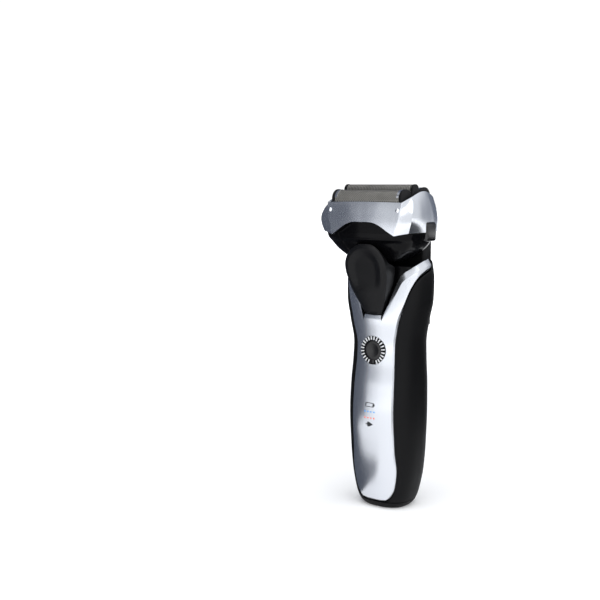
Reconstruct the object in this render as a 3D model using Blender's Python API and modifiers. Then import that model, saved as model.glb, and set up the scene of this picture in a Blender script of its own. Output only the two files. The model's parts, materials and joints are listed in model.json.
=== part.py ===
"""Electric shaver with three floating foils on a swinging head.

The shaver stands upright on its bottom cap.  +Z is up, the front with the thumb rest
and the power button faces -Y, and the origin is the middle of the bottom face.
Run it with: blender --background --python part.py
"""
import math

import bmesh
import bpy
from mathutils import Matrix, Vector

MM = 0.001
GAP = 0.3 * MM              # clearance between pieces that touch or slide
MERGE = 0.00001             # merge distance of mirrored halves

# ---------------------------------------------------------------- handle skin
HANDLE_WIDTH = 37.6 * MM     # widest part of the lower handle
HANDLE_DEPTH = 33.6 * MM     # its depth at the same height
# Each row: height, half width as a share of the handle's width, and the reach of the
# front and of the back as shares of its depth.
HANDLE_STATIONS = [
    (0.0 * MM, 0.2979, 0.2857, 0.2798),
    (2.0 * MM, 0.3511, 0.3393, 0.3393),
    (5.0 * MM, 0.3910, 0.3750, 0.3869),
    (11.0 * MM, 0.4309, 0.4077, 0.4286),
    (19.0 * MM, 0.4681, 0.4315, 0.4583),
    (30.0 * MM, 0.4894, 0.4583, 0.4821),
    (48.0 * MM, 0.5000, 0.4940, 0.5060),
    (62.0 * MM, 0.4947, 0.4643, 0.5119),
    (74.0 * MM, 0.4761, 0.4226, 0.5119),
    (82.0 * MM, 0.4707, 0.4077, 0.5089),
    (94.0 * MM, 0.5266, 0.4405, 0.5000),
    (104.0 * MM, 0.5904, 0.4167, 0.4881),
    (114.0 * MM, 0.6037, 0.3810, 0.4702),
    (125.0 * MM, 0.5638, 0.3452, 0.4405),
]
SKIN_POWER = 2.5            # roundness of the cross-section: 2 is an ellipse

# Edge of the silver panel: height, angle from the front centre.
PANEL_EDGE = [
    (3.5 * MM, 30.0),
    (6.0 * MM, 38.0),
    (11.0 * MM, 43.5),
    (19.0 * MM, 43.5),
    (30.0 * MM, 38.0),
    (50.0 * MM, 36.0),
    (80.0 * MM, 35.0),
    (90.0 * MM, 38.0),
    (100.0 * MM, 42.0),
    (107.0 * MM, 48.0),
    (112.0 * MM, 56.0),
    (115.5 * MM, 67.0),
    (119.7 * MM, 100.0),
]
TONGUE_ANGLE = 10.5         # half width of the flat tongue between the arms
FORK_HEIGHT = 94.0 * MM     # where the panel divides into its two arms
TONGUE_TOP = 97.0 * MM
# Upper edge of an arm: angle from the front centre, height.
ARM_INNER = [
    (10.5, 94.0 * MM),
    (16.0, 100.5 * MM),
    (24.0, 109.5 * MM),
    (33.0, 116.2 * MM),
    (50.0, 119.6 * MM),
    (75.0, 122.4 * MM),
    (100.0, 124.2 * MM),
]
# Heights of the rows that make up the panel below its fork, and the grip.
PANEL_LEVELS = [value * MM for value in (3.5, 6, 9.5, 14, 20, 28, 38, 48, 57, 65, 73, 80, 87)]
GRIP_LEVELS = [value * MM for value in (5, 9.5, 14, 20, 30, 42, 54, 65, 75, 83, 90, 97, 104)]
GRIP_LEVELS += [value * MM for value in (109, 113, 116, 118.4, 120, 123.4)]
PANEL_WALL = 1.4 * MM
GRIP_WALL = 1.8 * MM
SEAM = 0.5 * MM             # open line between panel and grip
CAP_TOP = 8.0 * MM          # bottom cap reaches this high inside the shell

# ---------------------------------------------------------------- inner case
CASE_WALL = 1.2 * MM
CASE_BOTTOM = 9.0 * MM
CASE_TOP = 88.0 * MM
CASE_INSET = GRIP_WALL + 2 * GAP

# ---------------------------------------------------------------- electrics
CELL_RADIUS = 7.0 * MM
CELL_LENGTH = 50.0 * MM
CELL_Y = 3.4 * MM
CELL_BASE = 14.0 * MM
TAB_THICKNESS = 0.6 * MM
BOARD_HALF_WIDTH = 7.5 * MM
BOARD_THICKNESS = 1.2 * MM
BOARD_FRONT = -7.4 * MM
BOARD_BASE = 32.0 * MM
BOARD_TOP = 86.0 * MM
SWITCH_HEIGHT = 0.7 * MM

BUTTON_Z = 79.5 * MM
BUTTON_RADIUS = 5.0 * MM
BUTTON_TRAVEL = 0.8 * MM
BUTTON_STEM_RADIUS = 2.0 * MM
RING_RADIUS = 7.0 * MM
RING_WALL = 1.6 * MM
RING_TEETH = 24
RING_PROUD = 0.7 * MM

LIGHT_ROWS = (49.3 * MM, 46.2 * MM)
LIGHT_HALF_WIDTH = 3.2 * MM
LIGHT_HEIGHT = 1.2 * MM

INLET_HALF_WIDTH = 4.4 * MM
INLET_HALF_DEPTH = 2.8 * MM
INLET_POCKET = 6.4 * MM
INLET_PIN_REACH = 2.2 * MM   # how far the pins stand into the pocket
INLET_WALL = 0.9 * MM
INLET_PIN_RADIUS = 0.7 * MM
INLET_PIN_SPACING = 2.1 * MM

# ---------------------------------------------------------------- neck and thumb rest
GASKET_HEIGHT = 3.2 * MM
GASKET_WALL = 1.6 * MM
NECK_BOTTOM = CASE_TOP + GASKET_HEIGHT + 3 * GAP
NECK_TOP = 121.0 * MM
NECK_BACK = 8.0 * MM
NECK_INSET = GRIP_WALL + 2 * GAP

THUMB_RADIUS = 12.0 * MM
THUMB_CENTRE = 120.0 * MM
THUMB_BOTTOM = 97.6 * MM
THUMB_FOOT = 4.7 * MM       # half width of its flat bottom edge
# Height, depth of the rim and depth of the back face as shares of the handle's depth.
THUMB_STATIONS = [
    (97.6 * MM, 0.4345, 0.3958),
    (103.0 * MM, 0.4821, 0.3810),
    (110.0 * MM, 0.5655, 0.3690),
    (117.0 * MM, 0.6429, 0.3631),
    (120.5 * MM, 0.6667, 0.3750),
    (123.0 * MM, 0.6815, 0.5179),
    (127.0 * MM, 0.6905, 0.5833),
    (132.0 * MM, 0.6845, 0.6310),
]
THUMB_DISH = 1.0 * MM

# ---------------------------------------------------------------- head
PIVOT_Z = 129.0 * MM
PIVOT_RADIUS = 1.4 * MM
HEAD_SWING = 5.0            # degrees each way, sets the yoke slots
HUB_HALF_WIDTH = 3.6 * MM
HUB_FRONT = -7.2 * MM
HUB_BACK = 0.4 * MM
HUB_TOP = 133.6 * MM
HUB_STEP = 0.2 * MM         # the floor strip under the hub is this much longer at each end
YOKE_HALF_WIDTH = 3.6 * MM
YOKE_THICKNESS = 3.0 * MM
HEAD_CENTRE_Y = -7.0 * MM
BASE_WALL = 1.2 * MM
BASE_SIDE_WALL = 0.9 * MM   # sideways step of the bowl's inner face
SKIRT_LEAN = 0.8 * MM       # the skirt's rim leans in under the frame
FRAME_WALL = 1.0 * MM
SKIRT_TOP = 146.0 * MM
# Height, half width, front depth and back depth of the bowl under the frame.
BASE_STATIONS = [
    (122.4 * MM, 8.0 * MM, -12.6 * MM, 0.6 * MM),
    (123.8 * MM, 13.6 * MM, -14.9 * MM, 2.4 * MM),
    (126.6 * MM, 18.2 * MM, -17.2 * MM, 4.2 * MM),
    (129.4 * MM, 21.7 * MM, -18.9 * MM, 5.8 * MM),
    (132.6 * MM, 24.3 * MM, -20.6 * MM, 7.0 * MM),
    (134.4 * MM, 25.4 * MM, -22.2 * MM, 8.0 * MM),
    (135.4 * MM, 25.9 * MM, -22.3 * MM, 9.8 * MM),
    (137.0 * MM, 26.4 * MM, -22.4 * MM, 11.0 * MM),
]
# Outline of the frame, right half from front centre to back centre: (x, y, z).
FRAME_BOTTOM = [
    (0.0, -24.8, 142.4), (3.6, -24.8, 142.4), (7.0, -24.7, 142.0), (10.8, -24.5, 140.4),
    (14.6, -24.2, 138.0), (18.0, -23.9, 136.1), (24.5, -21.2, 137.4), (26.3, -15.0, 137.6),
    (26.7, -9.9, 137.6), (26.6, -5.0, 137.6), (26.3, -0.3, 137.6), (24.4, 4.4, 137.7),
    (20.4, 8.6, 137.8), (12.0, 10.8, 137.8), (0.0, 11.6, 137.8),
]
FRAME_TOP = [
    (0.0, -22.9, 151.9), (4.4, -22.9, 151.9), (8.8, -22.9, 151.85), (13.0, -22.8, 151.8),
    (17.4, -22.7, 151.7), (21.4, -22.6, 151.6), (22.2, -14.6, 154.4), (22.3, -11.0, 155.7),
    (22.3, -7.5, 156.6), (22.3, -4.0, 156.8), (22.2, -0.8, 156.2), (21.8, 3.4, 154.6),
    (19.8, 6.0, 153.8), (11.0, 6.9, 153.4), (0.0, 7.2, 153.2),
]
# How far each of those points swells outwards half way up.
FRAME_SWELL = [
    (0.0, -1.1, 0.0), (0.2, -1.1, 0.0), (0.4, -1.0, 0.0), (0.6, -0.9, 0.0),
    (0.7, -0.8, 0.0), (0.8, -0.75, 0.0), (3.0, -3.2, 0.0), (2.0, -1.4, 0.0),
    (1.4, -0.4, 0.0), (1.1, 0.0, 0.0), (1.0, 0.2, 0.0), (0.9, 0.6, 0.0),
    (0.5, 0.9, 0.0), (0.0, 1.1, 0.0), (0.0, 1.1, 0.0),
]
FRAME_LEVELS = 4
RIVET_RADIUS = 1.0 * MM
RIVET_PROUD = 0.6 * MM
RIVET_SHARE = 0.76          # how far up the frame's front corner the rivets sit
RIVET_INSET = 1.6 * MM

RELEASE_Y = -5.1 * MM
RELEASE_HALF_DEPTH = 4.3 * MM
RELEASE_BOTTOM = 133.2 * MM
RELEASE_TOP = 142.0 * MM
RELEASE_FACE = 27.3 * MM
RELEASE_THICKNESS = 4.2 * MM
RELEASE_TRAVEL = 1.2 * MM
SPRING_THICKNESS = 0.5 * MM

# ---------------------------------------------------------------- foils and drive
# Name, y, height of the arc's centre, radius of the foil.
FOILS = (
    ("front", -16.4 * MM, 153.0 * MM, 4.4 * MM),
    ("middle", -8.4 * MM, 157.5 * MM, 2.5 * MM),
    ("rear", -0.4 * MM, 154.0 * MM, 4.4 * MM),
)
FOIL_HALF_LENGTH = 18.5 * MM
FOIL_SHEET = 0.5 * MM
FOIL_LEG = 2.6 * MM
FOIL_FLOAT = 1.2 * MM
BLADE_TRAVEL = 1.2 * MM
BLADE_HALF_LENGTH = FOIL_HALF_LENGTH - BLADE_TRAVEL - 0.8 * MM
CASSETTE_END = 1.4 * MM
CASSETTE_BASE = 148.6 * MM
RAIL_HEIGHT = 1.6 * MM
PIN_HALF_WIDTH = 2.0 * MM
PIN_HALF_DEPTH = 0.8 * MM
MOTOR_HALF_WIDTH = 14.0 * MM
MOTOR_BASE = 134.2 * MM
MOTOR_TOP = 142.4 * MM
ARMATURE_HEIGHT = 1.6 * MM

# ---------------------------------------------------------------- trimmer
TRIMMER_HALF_WIDTH = 14.0 * MM
TRIMMER_BOTTOM = 90.0 * MM
TRIMMER_TOP = 133.0 * MM
TRIMMER_FRONT = NECK_BACK + 2 * GAP
TRIMMER_BACK = 17.3 * MM
POCKET_HALF_WIDTH = 11.0 * MM
POCKET_FLOOR = 12.4 * MM
POCKET_BOTTOM = 93.0 * MM
ARM_PIVOT_Z = 114.0 * MM
ARM_PIVOT_Y = 15.0 * MM
ARM_ROUND = 2.1 * MM
ARM_PIN_RADIUS = 0.8 * MM
ARM_TOP = 131.0 * MM
BLADE_PLATE = 0.6 * MM
SLIDER_BOTTOM = 95.0 * MM
SLIDER_TOP = 105.0 * MM
SLIDER_HALF_WIDTH = 6.0 * MM

SCREW_RADIUS = 0.9 * MM
SCREW_HEAD_RADIUS = 1.8 * MM
SCREW_HEAD = 1.2 * MM


# ================================================================ scene and materials
def clear_scene():
    for item in list(bpy.data.objects):
        bpy.data.objects.remove(item, do_unlink=True)


def make_collection(name):
    collection = bpy.data.collections.new(name)
    bpy.context.scene.collection.children.link(collection)
    return collection


def make_material(name, color, roughness, metallic=0.0):
    material = bpy.data.materials.new(name)
    material.use_nodes = True
    shader = material.node_tree.nodes["Principled BSDF"]
    shader.inputs["Base Color"].default_value = (*color, 1.0)
    shader.inputs["Roughness"].default_value = roughness
    shader.inputs["Metallic"].default_value = metallic
    return material


clear_scene()
PARTS = make_collection("electric_shaver")
CUTTERS = make_collection("cutters")

SILVER = make_material("satin_silver", (0.62, 0.63, 0.65), 0.32, 0.9)
GLOSS_BLACK = make_material("gloss_black", (0.012, 0.012, 0.014), 0.14)
MATTE_BLACK = make_material("matte_black", (0.020, 0.020, 0.023), 0.5)
GRIP_BLACK = make_material("grip_rubber", (0.018, 0.018, 0.020), 0.62)
STEEL = make_material("steel", (0.56, 0.56, 0.56), 0.28, 1.0)
FOIL_STEEL = make_material("foil_steel", (0.42, 0.42, 0.40), 0.36, 1.0)
CHROME = make_material("chrome", (0.80, 0.80, 0.82), 0.10, 1.0)
BOARD_GREEN = make_material("board_green", (0.02, 0.16, 0.07), 0.5)
CELL_WRAP = make_material("cell_wrap", (0.06, 0.16, 0.30), 0.4)
NICKEL = make_material("nickel", (0.70, 0.66, 0.58), 0.3, 1.0)
SEAL_RUBBER = make_material("seal_rubber", (0.05, 0.05, 0.05), 0.8)
INNER_GREY = make_material("inner_grey", (0.22, 0.22, 0.23), 0.55)
CLEAR_GUIDE = make_material("clear_guide", (0.10, 0.35, 0.80), 0.2)
COPPER = make_material("copper", (0.72, 0.38, 0.22), 0.35, 1.0)


# ================================================================ curves through stations
def smooth_value(points, at):
    """Monotone cubic through (place, value) points, constant beyond the ends."""
    if at <= points[0][0]:
        return points[0][1]
    if at >= points[-1][0]:
        return points[-1][1]
    index = 0
    while points[index + 1][0] < at:
        index += 1
    slopes = []
    for step in range(len(points) - 1):
        slopes.append((points[step + 1][1] - points[step][1]) / (points[step + 1][0] - points[step][0]))

    def tangent(i):
        if i == 0:
            return slopes[0]
        if i == len(points) - 1:
            return slopes[-1]
        if slopes[i - 1] * slopes[i] <= 0:
            return 0.0
        return 2 * slopes[i - 1] * slopes[i] / (slopes[i - 1] + slopes[i])

    width = points[index + 1][0] - points[index][0]
    t = (at - points[index][0]) / width
    start = (2 * t ** 3 - 3 * t ** 2 + 1) * points[index][1]
    end = (3 * t ** 2 - 2 * t ** 3) * points[index + 1][1]
    leave = (t ** 3 - 2 * t ** 2 + t) * width * tangent(index)
    arrive = (t ** 3 - t ** 2) * width * tangent(index + 1)
    return start + end + leave + arrive


def column(stations, number):
    return [(row[0], row[number]) for row in stations]


def signed_power(value, power):
    return math.copysign(abs(value) ** power, value)


def handle_half_width(height):
    return HANDLE_WIDTH * smooth_value(column(HANDLE_STATIONS, 1), height)


def handle_point(angle, height, inset=0.0):
    """Point on the handle's skin; the angle runs from front centre round the +X side."""
    half_width = handle_half_width(height) - inset
    front = HANDLE_DEPTH * smooth_value(column(HANDLE_STATIONS, 2), height) - inset
    back = HANDLE_DEPTH * smooth_value(column(HANDLE_STATIONS, 3), height) - inset
    turn = math.radians(angle)
    depth = front if math.cos(turn) > 0 else back
    x = half_width * signed_power(math.sin(turn), 2 / SKIN_POWER)
    y = -depth * signed_power(math.cos(turn), 2 / SKIN_POWER)
    return Vector((x, y, height))


def front_depth(height, inset=0.0):
    return -handle_point(0.0, height, inset).y


def back_depth(height, inset=0.0):
    return handle_point(180.0, height, inset).y


def skin_half_width(height, behind, inset=0.0):
    """Half width of the handle's section at a distance behind its axis."""
    share = behind / back_depth(height, inset)
    return (handle_half_width(height) - inset) * (1 - share ** SKIN_POWER) ** (1 / SKIN_POWER)


# ================================================================ building blocks
def link(item, material, collection=None):
    (collection or PARTS).objects.link(item)
    if material:
        item.data.materials.append(material)
    return item


def mesh_object(name, mesh, material, collection=None):
    return link(bpy.data.objects.new(name, mesh), material, collection)


def grid_surface(name, rows, material, closed=False, cap=None, collection=None):
    """Open sheet through rows of points; rows run upwards and points counter-clockwise."""
    sheet = bmesh.new()
    grid = [[sheet.verts.new(point) for point in row] for row in rows]
    count = len(rows[0])
    last = count if closed else count - 1
    for lower, upper in zip(grid, grid[1:]):
        for i in range(last):
            j = (i + 1) % count
            sheet.faces.new((lower[i], lower[j], upper[j], upper[i]))
    if cap in ("bottom", "both"):
        sheet.faces.new(list(reversed(grid[0])))
    if cap in ("top", "both"):
        sheet.faces.new(grid[-1])
    mesh = bpy.data.meshes.new(name)
    sheet.to_mesh(mesh)
    sheet.free()
    return mesh_object(name, mesh, material, collection)


def primitive(name, build, material, place, turn=(0.0, 0.0, 0.0), collection=None):
    """Mesh from a bmesh primitive, turned and placed by its object."""
    body = bmesh.new()
    build(body)
    mesh = bpy.data.meshes.new(name)
    body.to_mesh(mesh)
    body.free()
    item = mesh_object(name, mesh, material, collection)
    item.location = place
    item.rotation_euler = [math.radians(value) for value in turn]
    return item


def box(name, low, high, material=None, collection=None, rounding=0.0, segments=1):
    size = Vector(high) - Vector(low)
    centre = (Vector(high) + Vector(low)) / 2

    def build(body):
        bmesh.ops.create_cube(body, size=1.0, matrix=Matrix.Diagonal((*size, 1.0)))

    item = primitive(name, build, material, centre, collection=collection)
    if rounding:
        bevel(item, rounding, segments)
    return item


def cylinder(name, radius, length, place, axis="Z", material=None, collection=None, sides=24):
    """Cylinder centred on its place, along one of the three axes."""
    turns = {"X": (0.0, 90.0, 0.0), "Y": (90.0, 0.0, 0.0), "Z": (0.0, 0.0, 0.0)}

    def build(body):
        bmesh.ops.create_cone(
            body, cap_ends=True, segments=sides, radius1=radius, radius2=radius, depth=length
        )

    item = primitive(name, build, material, place, turns[axis], collection)
    item.data.shade_smooth()
    item.data.set_sharp_from_angle(angle=math.radians(40))
    return item


def turned(name, profile, material, place, axis="Z", sides=24, collection=None):
    """Closed profile (radius, place along the axis) spun about +Y or +Z."""
    turns = {"Y": (-90.0, 0.0, 0.0), "Z": (0.0, 0.0, 0.0)}
    outline = bmesh.new()
    verts = [outline.verts.new((radius, 0.0, height)) for radius, height in profile]
    for i, vert in enumerate(verts):
        outline.edges.new((vert, verts[(i + 1) % len(verts)]))
    mesh = bpy.data.meshes.new(name)
    outline.to_mesh(mesh)
    outline.free()
    item = mesh_object(name, mesh, material, collection)
    screw = item.modifiers.new("turn", "SCREW")
    screw.steps = sides
    screw.render_steps = sides
    screw.use_merge_vertices = True
    screw.merge_threshold = MERGE
    item.location = place
    item.rotation_euler = [math.radians(value) for value in turns[axis]]
    return item


def extruded(name, outline, half_length, material, place, axis="X", collection=None):
    """Flat outline thickened along one axis; outline points are (y, z) for X, (x, z) for Y."""
    body = bmesh.new()
    near = []
    far = []
    for first, second in outline:
        if axis == "X":
            near.append(body.verts.new((-half_length, first, second)))
            far.append(body.verts.new((half_length, first, second)))
        else:
            near.append(body.verts.new((first, half_length, second)))
            far.append(body.verts.new((first, -half_length, second)))
    count = len(outline)
    body.faces.new(list(reversed(near)))
    body.faces.new(far)
    for i in range(count):
        j = (i + 1) % count
        body.faces.new((near[i], near[j], far[j], far[i]))
    bmesh.ops.recalc_face_normals(body, faces=body.faces)
    mesh = bpy.data.meshes.new(name)
    body.to_mesh(mesh)
    body.free()
    item = mesh_object(name, mesh, material, collection)
    item.location = place
    return item


def solidify(item, thickness):
    wall = item.modifiers.new("wall", "SOLIDIFY")
    wall.thickness = thickness
    wall.offset = -1.0


def mirror_x(item):
    mirror = item.modifiers.new("mirror", "MIRROR")
    mirror.merge_threshold = MERGE


def bevel(item, width, segments=1):
    edge = item.modifiers.new("edge", "BEVEL")
    edge.width = width
    edge.segments = segments
    edge.limit_method = "ANGLE"
    edge.angle_limit = math.radians(40)


def boolean(item, other, operation="DIFFERENCE"):
    """Cut or join with a shape that the build leaves out."""
    for collection in list(other.users_collection):
        collection.objects.unlink(other)
    CUTTERS.objects.link(other)
    other.hide_render = True
    other.display_type = "WIRE"
    step = item.modifiers.new("boolean", "BOOLEAN")
    step.operation = operation
    step.object = other


def cut_box(item, low, high):
    boolean(item, box(item.name + "_cut", low, high))


def cut_cylinder(item, radius, length, place, axis="Z", sides=24):
    boolean(item, cylinder(item.name + "_bore", radius, length, place, axis, sides=sides))


def join_box(item, low, high):
    boolean(item, box(item.name + "_add", low, high), "UNION")


def spread(start, end, count):
    return [start + (end - start) * i / (count - 1) for i in range(count)]


# ================================================================ handle shell
def panel_angle(height):
    return smooth_value(PANEL_EDGE, height)


def arm_row(share):
    """Inner and outer edge of an arm at a share of its length, as (angle, height)."""
    inner_angle = ARM_INNER[0][0] + (ARM_INNER[-1][0] - ARM_INNER[0][0]) * share
    inner_height = smooth_value(ARM_INNER, inner_angle)
    outer_height = FORK_HEIGHT + (PANEL_EDGE[-1][0] - FORK_HEIGHT) * (1 - (1 - share) ** 1.8)
    return (inner_angle, inner_height), (panel_angle(outer_height), outer_height)


def blend_point(first, second, share, inset=0.0):
    angle = first[0] + (second[0] - first[0]) * share
    height = first[1] + (second[1] - first[1]) * share
    return handle_point(angle, height, inset)


def front_panel():
    tongue = 2
    side = 5
    body = bmesh.new()
    grid = []
    for height in PANEL_LEVELS + [FORK_HEIGHT]:
        edge = panel_angle(height)
        angles = spread(0.0, TONGUE_ANGLE, tongue + 1) + spread(TONGUE_ANGLE, edge, side + 1)[1:]
        grid.append([body.verts.new(handle_point(angle, height)) for angle in angles])
    tip = []
    for i in range(tongue + 1):
        angle = TONGUE_ANGLE * i / tongue * 0.9
        tip.append(body.verts.new(handle_point(angle, TONGUE_TOP)))
    arm = [grid[-1][tongue:]]
    steps = 8
    for step in range(1, steps + 1):
        inner, outer = arm_row(step / steps)
        arm.append([body.verts.new(blend_point(inner, outer, i / side)) for i in range(side + 1)])
    for block in (grid, [grid[-1][: tongue + 1], tip], arm):
        for lower, upper in zip(block, block[1:]):
            for i in range(len(lower) - 1):
                body.faces.new((lower[i], lower[i + 1], upper[i + 1], upper[i]))
    mesh = bpy.data.meshes.new("front_panel")
    body.to_mesh(mesh)
    body.free()
    panel = mesh_object("front_panel", mesh, SILVER)
    mirror_x(panel)
    solidify(panel, PANEL_WALL)
    cut_cylinder(panel, RING_RADIUS + GAP, 12 * MM, (0, -front_depth(BUTTON_Z), BUTTON_Z), "Y", 32)
    for height in LIGHT_ROWS:
        low = (-LIGHT_HALF_WIDTH - GAP, -30 * MM, height - LIGHT_HEIGHT / 2 - GAP)
        high = (LIGHT_HALF_WIDTH + GAP, -8 * MM, height + LIGHT_HEIGHT / 2 + GAP)
        cut_box(panel, low, high)


def grip_edge(height):
    """Angle where the grip starts beside the panel, a seam away from it."""
    seam_angle = math.degrees(SEAM / handle_half_width(height)) * 1.25
    return max(panel_angle(height) + seam_angle, panel_angle(height + 2.4 * SEAM))


def grip_shell():
    rows = []
    for height in GRIP_LEVELS:
        start = grip_edge(height)
        rows.append([handle_point(angle, height) for angle in spread(start, 180.0, 12)])
    grip = grid_surface("grip_shell", rows, GRIP_BLACK)
    mirror_x(grip)
    solidify(grip, GRIP_WALL)
    side = TRIMMER_HALF_WIDTH + GAP
    cut_box(grip, (-side, 5 * MM, TRIMMER_BOTTOM - GAP), (side, 30 * MM, TRIMMER_TOP))


def bottom_cap():
    """Solid end of the handle below the grip and the panel, with the inlet's hole."""
    inset = GRIP_WALL + GAP
    angles = [i * 12.0 for i in range(30)]
    heights = spread(0.0, PANEL_EDGE[0][0] - SEAM, 4)
    rows = [[handle_point(angle, height) for angle in angles] for height in heights]
    top = rows[-1][0].z
    rows.append([handle_point(angle, top, inset) for angle in angles])
    rows.append([handle_point(angle, CAP_TOP, inset) for angle in angles])
    cap = grid_surface("bottom_cap", rows, GRIP_BLACK, closed=True, cap="both")
    half = Vector((INLET_HALF_WIDTH + INLET_WALL + GAP, INLET_HALF_DEPTH + INLET_WALL + GAP, 0))
    cut_box(cap, (-half.x, -half.y, -1 * MM), (half.x, half.y, CAP_TOP + 1 * MM))
    for y in screw_depths():
        cut_cylinder(cap, SCREW_RADIUS + GAP, 30 * MM, (0, y, 0), sides=12)
        cut_cylinder(cap, SCREW_HEAD_RADIUS + GAP, 2 * (SCREW_HEAD + 2 * GAP), (0, y, 0), sides=16)


def screw_depths():
    offset = INLET_HALF_DEPTH + INLET_WALL + SCREW_HEAD_RADIUS + 1.0 * MM
    return (-offset, offset)


def inner_case():
    angles = [i * 15.0 for i in range(24)]
    heights = (9.0, 14.0, 21.0, 32.0, 48.0, 62.0, 72.0, 80.0, 88.0)
    rows = [[handle_point(angle, height * MM, CASE_INSET) for angle in angles] for height in heights]
    case = grid_surface("inner_case", rows, INNER_GREY, closed=True, cap="bottom")
    solidify(case, CASE_WALL)
    front = -front_depth(BUTTON_Z)
    cut_cylinder(case, BUTTON_STEM_RADIUS + GAP, 10 * MM, (0, front, BUTTON_Z), "Y", 16)
    for height in LIGHT_ROWS:
        low = (-LIGHT_HALF_WIDTH - GAP, -30 * MM, height - LIGHT_HEIGHT / 2 - GAP)
        high = (LIGHT_HALF_WIDTH + GAP, -9 * MM, height + LIGHT_HEIGHT / 2 + GAP)
        cut_box(case, low, high)
    wire = 2.2 * MM
    cut_box(case, (-wire, -wire, CASE_BOTTOM - 2 * MM), (wire, wire, CASE_BOTTOM + 3 * MM))


def bottom_screws():
    for name, y in zip(("bottom_screw_front", "bottom_screw_rear"), screw_depths()):
        tip = CASE_BOTTOM - GAP
        head = 2 * GAP
        profile = [(0.0, tip), (SCREW_RADIUS, tip), (SCREW_RADIUS, head + SCREW_HEAD)]
        profile += [(SCREW_HEAD_RADIUS, head + SCREW_HEAD), (SCREW_HEAD_RADIUS, head), (0.0, head)]
        screw = turned(name, profile, STEEL, (0, y, 0), sides=16)
        slot = 0.3 * MM
        cut_box(screw, (-3 * MM, y - slot, 0), (3 * MM, y + slot, head + 0.5 * MM))


# ================================================================ electrics
def battery():
    middle = CELL_BASE + CELL_LENGTH / 2
    cylinder("battery_cell", CELL_RADIUS, CELL_LENGTH, (0, CELL_Y, middle), material=CELL_WRAP)
    half = 3.0 * MM
    for name, z in (
        ("battery_tab_bottom", CELL_BASE - GAP - TAB_THICKNESS),
        ("battery_tab_top", CELL_BASE + CELL_LENGTH + GAP),
    ):
        box(name, (-half, CELL_Y - half, z), (half, CELL_Y + half, z + TAB_THICKNESS), NICKEL)


def circuit_board():
    low = (-BOARD_HALF_WIDTH, BOARD_FRONT, BOARD_BASE)
    high = (BOARD_HALF_WIDTH, BOARD_FRONT + BOARD_THICKNESS, BOARD_TOP)
    box("circuit_board", low, high, BOARD_GREEN)
    lamp_back = BOARD_FRONT - GAP
    for name, height in zip(("charge_lamp_row", "clean_lamp_row"), LIGHT_ROWS):
        low = (-LIGHT_HALF_WIDTH, lamp_back - 0.8 * MM, height - LIGHT_HEIGHT / 2)
        box(name, low, (LIGHT_HALF_WIDTH, lamp_back, height + LIGHT_HEIGHT / 2), CLEAR_GUIDE)
    for name, height in zip(("charge_light_guide", "clean_light_guide"), LIGHT_ROWS):
        face = -front_depth(height) - 0.05 * MM
        low = (-LIGHT_HALF_WIDTH, face, height - LIGHT_HEIGHT / 2)
        high = (LIGHT_HALF_WIDTH, lamp_back - 0.8 * MM - GAP, height + LIGHT_HEIGHT / 2)
        box(name, low, high, CLEAR_GUIDE)
    half = 2.6 * MM
    face = BOARD_FRONT - GAP
    low = (-half, face - SWITCH_HEIGHT, BUTTON_Z - half)
    box("tact_switch", low, (half, face, BUTTON_Z + half), INNER_GREY, rounding=0.2 * MM)


def power_button():
    skin = -front_depth(BUTTON_Z)
    deepest = max(front_depth(BUTTON_Z - BUTTON_RADIUS), front_depth(BUTTON_Z + BUTTON_RADIUS))
    case_face = CASE_INSET - deepest
    ring_back = skin + PANEL_WALL
    ring_front = skin - RING_PROUD
    ring_inner = RING_RADIUS - RING_WALL
    turned(
        "button_ring",
        [
            (ring_inner, ring_front + 0.5 * MM), (ring_inner, ring_back),
            (RING_RADIUS, ring_back), (RING_RADIUS, ring_front + 0.3 * MM),
            (RING_RADIUS - 0.3 * MM, ring_front),
        ],
        CHROME, (0, 0, BUTTON_Z), "Y", 2 * RING_TEETH,
    )
    flange_back = case_face - GAP - BUTTON_TRAVEL
    face = ring_front + 0.25 * MM
    stem_end = BOARD_FRONT - GAP - SWITCH_HEIGHT - GAP - BUTTON_TRAVEL
    profile = [
        (0.0, stem_end), (BUTTON_STEM_RADIUS, stem_end), (BUTTON_STEM_RADIUS, flange_back),
        (BUTTON_RADIUS, flange_back), (BUTTON_RADIUS, face + 0.4 * MM), (BUTTON_RADIUS - 0.5 * MM, face),
        (0.0, face + 0.15 * MM),
    ]
    turned("power_button", profile, GLOSS_BLACK, (0, 0, BUTTON_Z), "Y", 32)


def inlet():
    wall = INLET_WALL
    low = (-INLET_HALF_WIDTH - wall, -INLET_HALF_DEPTH - wall, 0.4 * MM)
    high = (INLET_HALF_WIDTH + wall, INLET_HALF_DEPTH + wall, CAP_TOP)
    socket = box("inlet_socket", low, high, GLOSS_BLACK)
    pocket_top = 0.4 * MM + INLET_POCKET
    low = (-INLET_HALF_WIDTH, -INLET_HALF_DEPTH, -1 * MM)
    cut_box(socket, low, (INLET_HALF_WIDTH, INLET_HALF_DEPTH, pocket_top))
    for name, side in (("inlet_pin_left", -1), ("inlet_pin_right", 1)):
        x = side * INLET_PIN_SPACING
        cut_cylinder(socket, INLET_PIN_RADIUS + GAP, 30 * MM, (x, 0, 0), sides=12)
        length = CAP_TOP - pocket_top + INLET_PIN_REACH
        cylinder(name, INLET_PIN_RADIUS, length, (x, 0, CAP_TOP - length / 2), material=NICKEL, sides=12)


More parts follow.
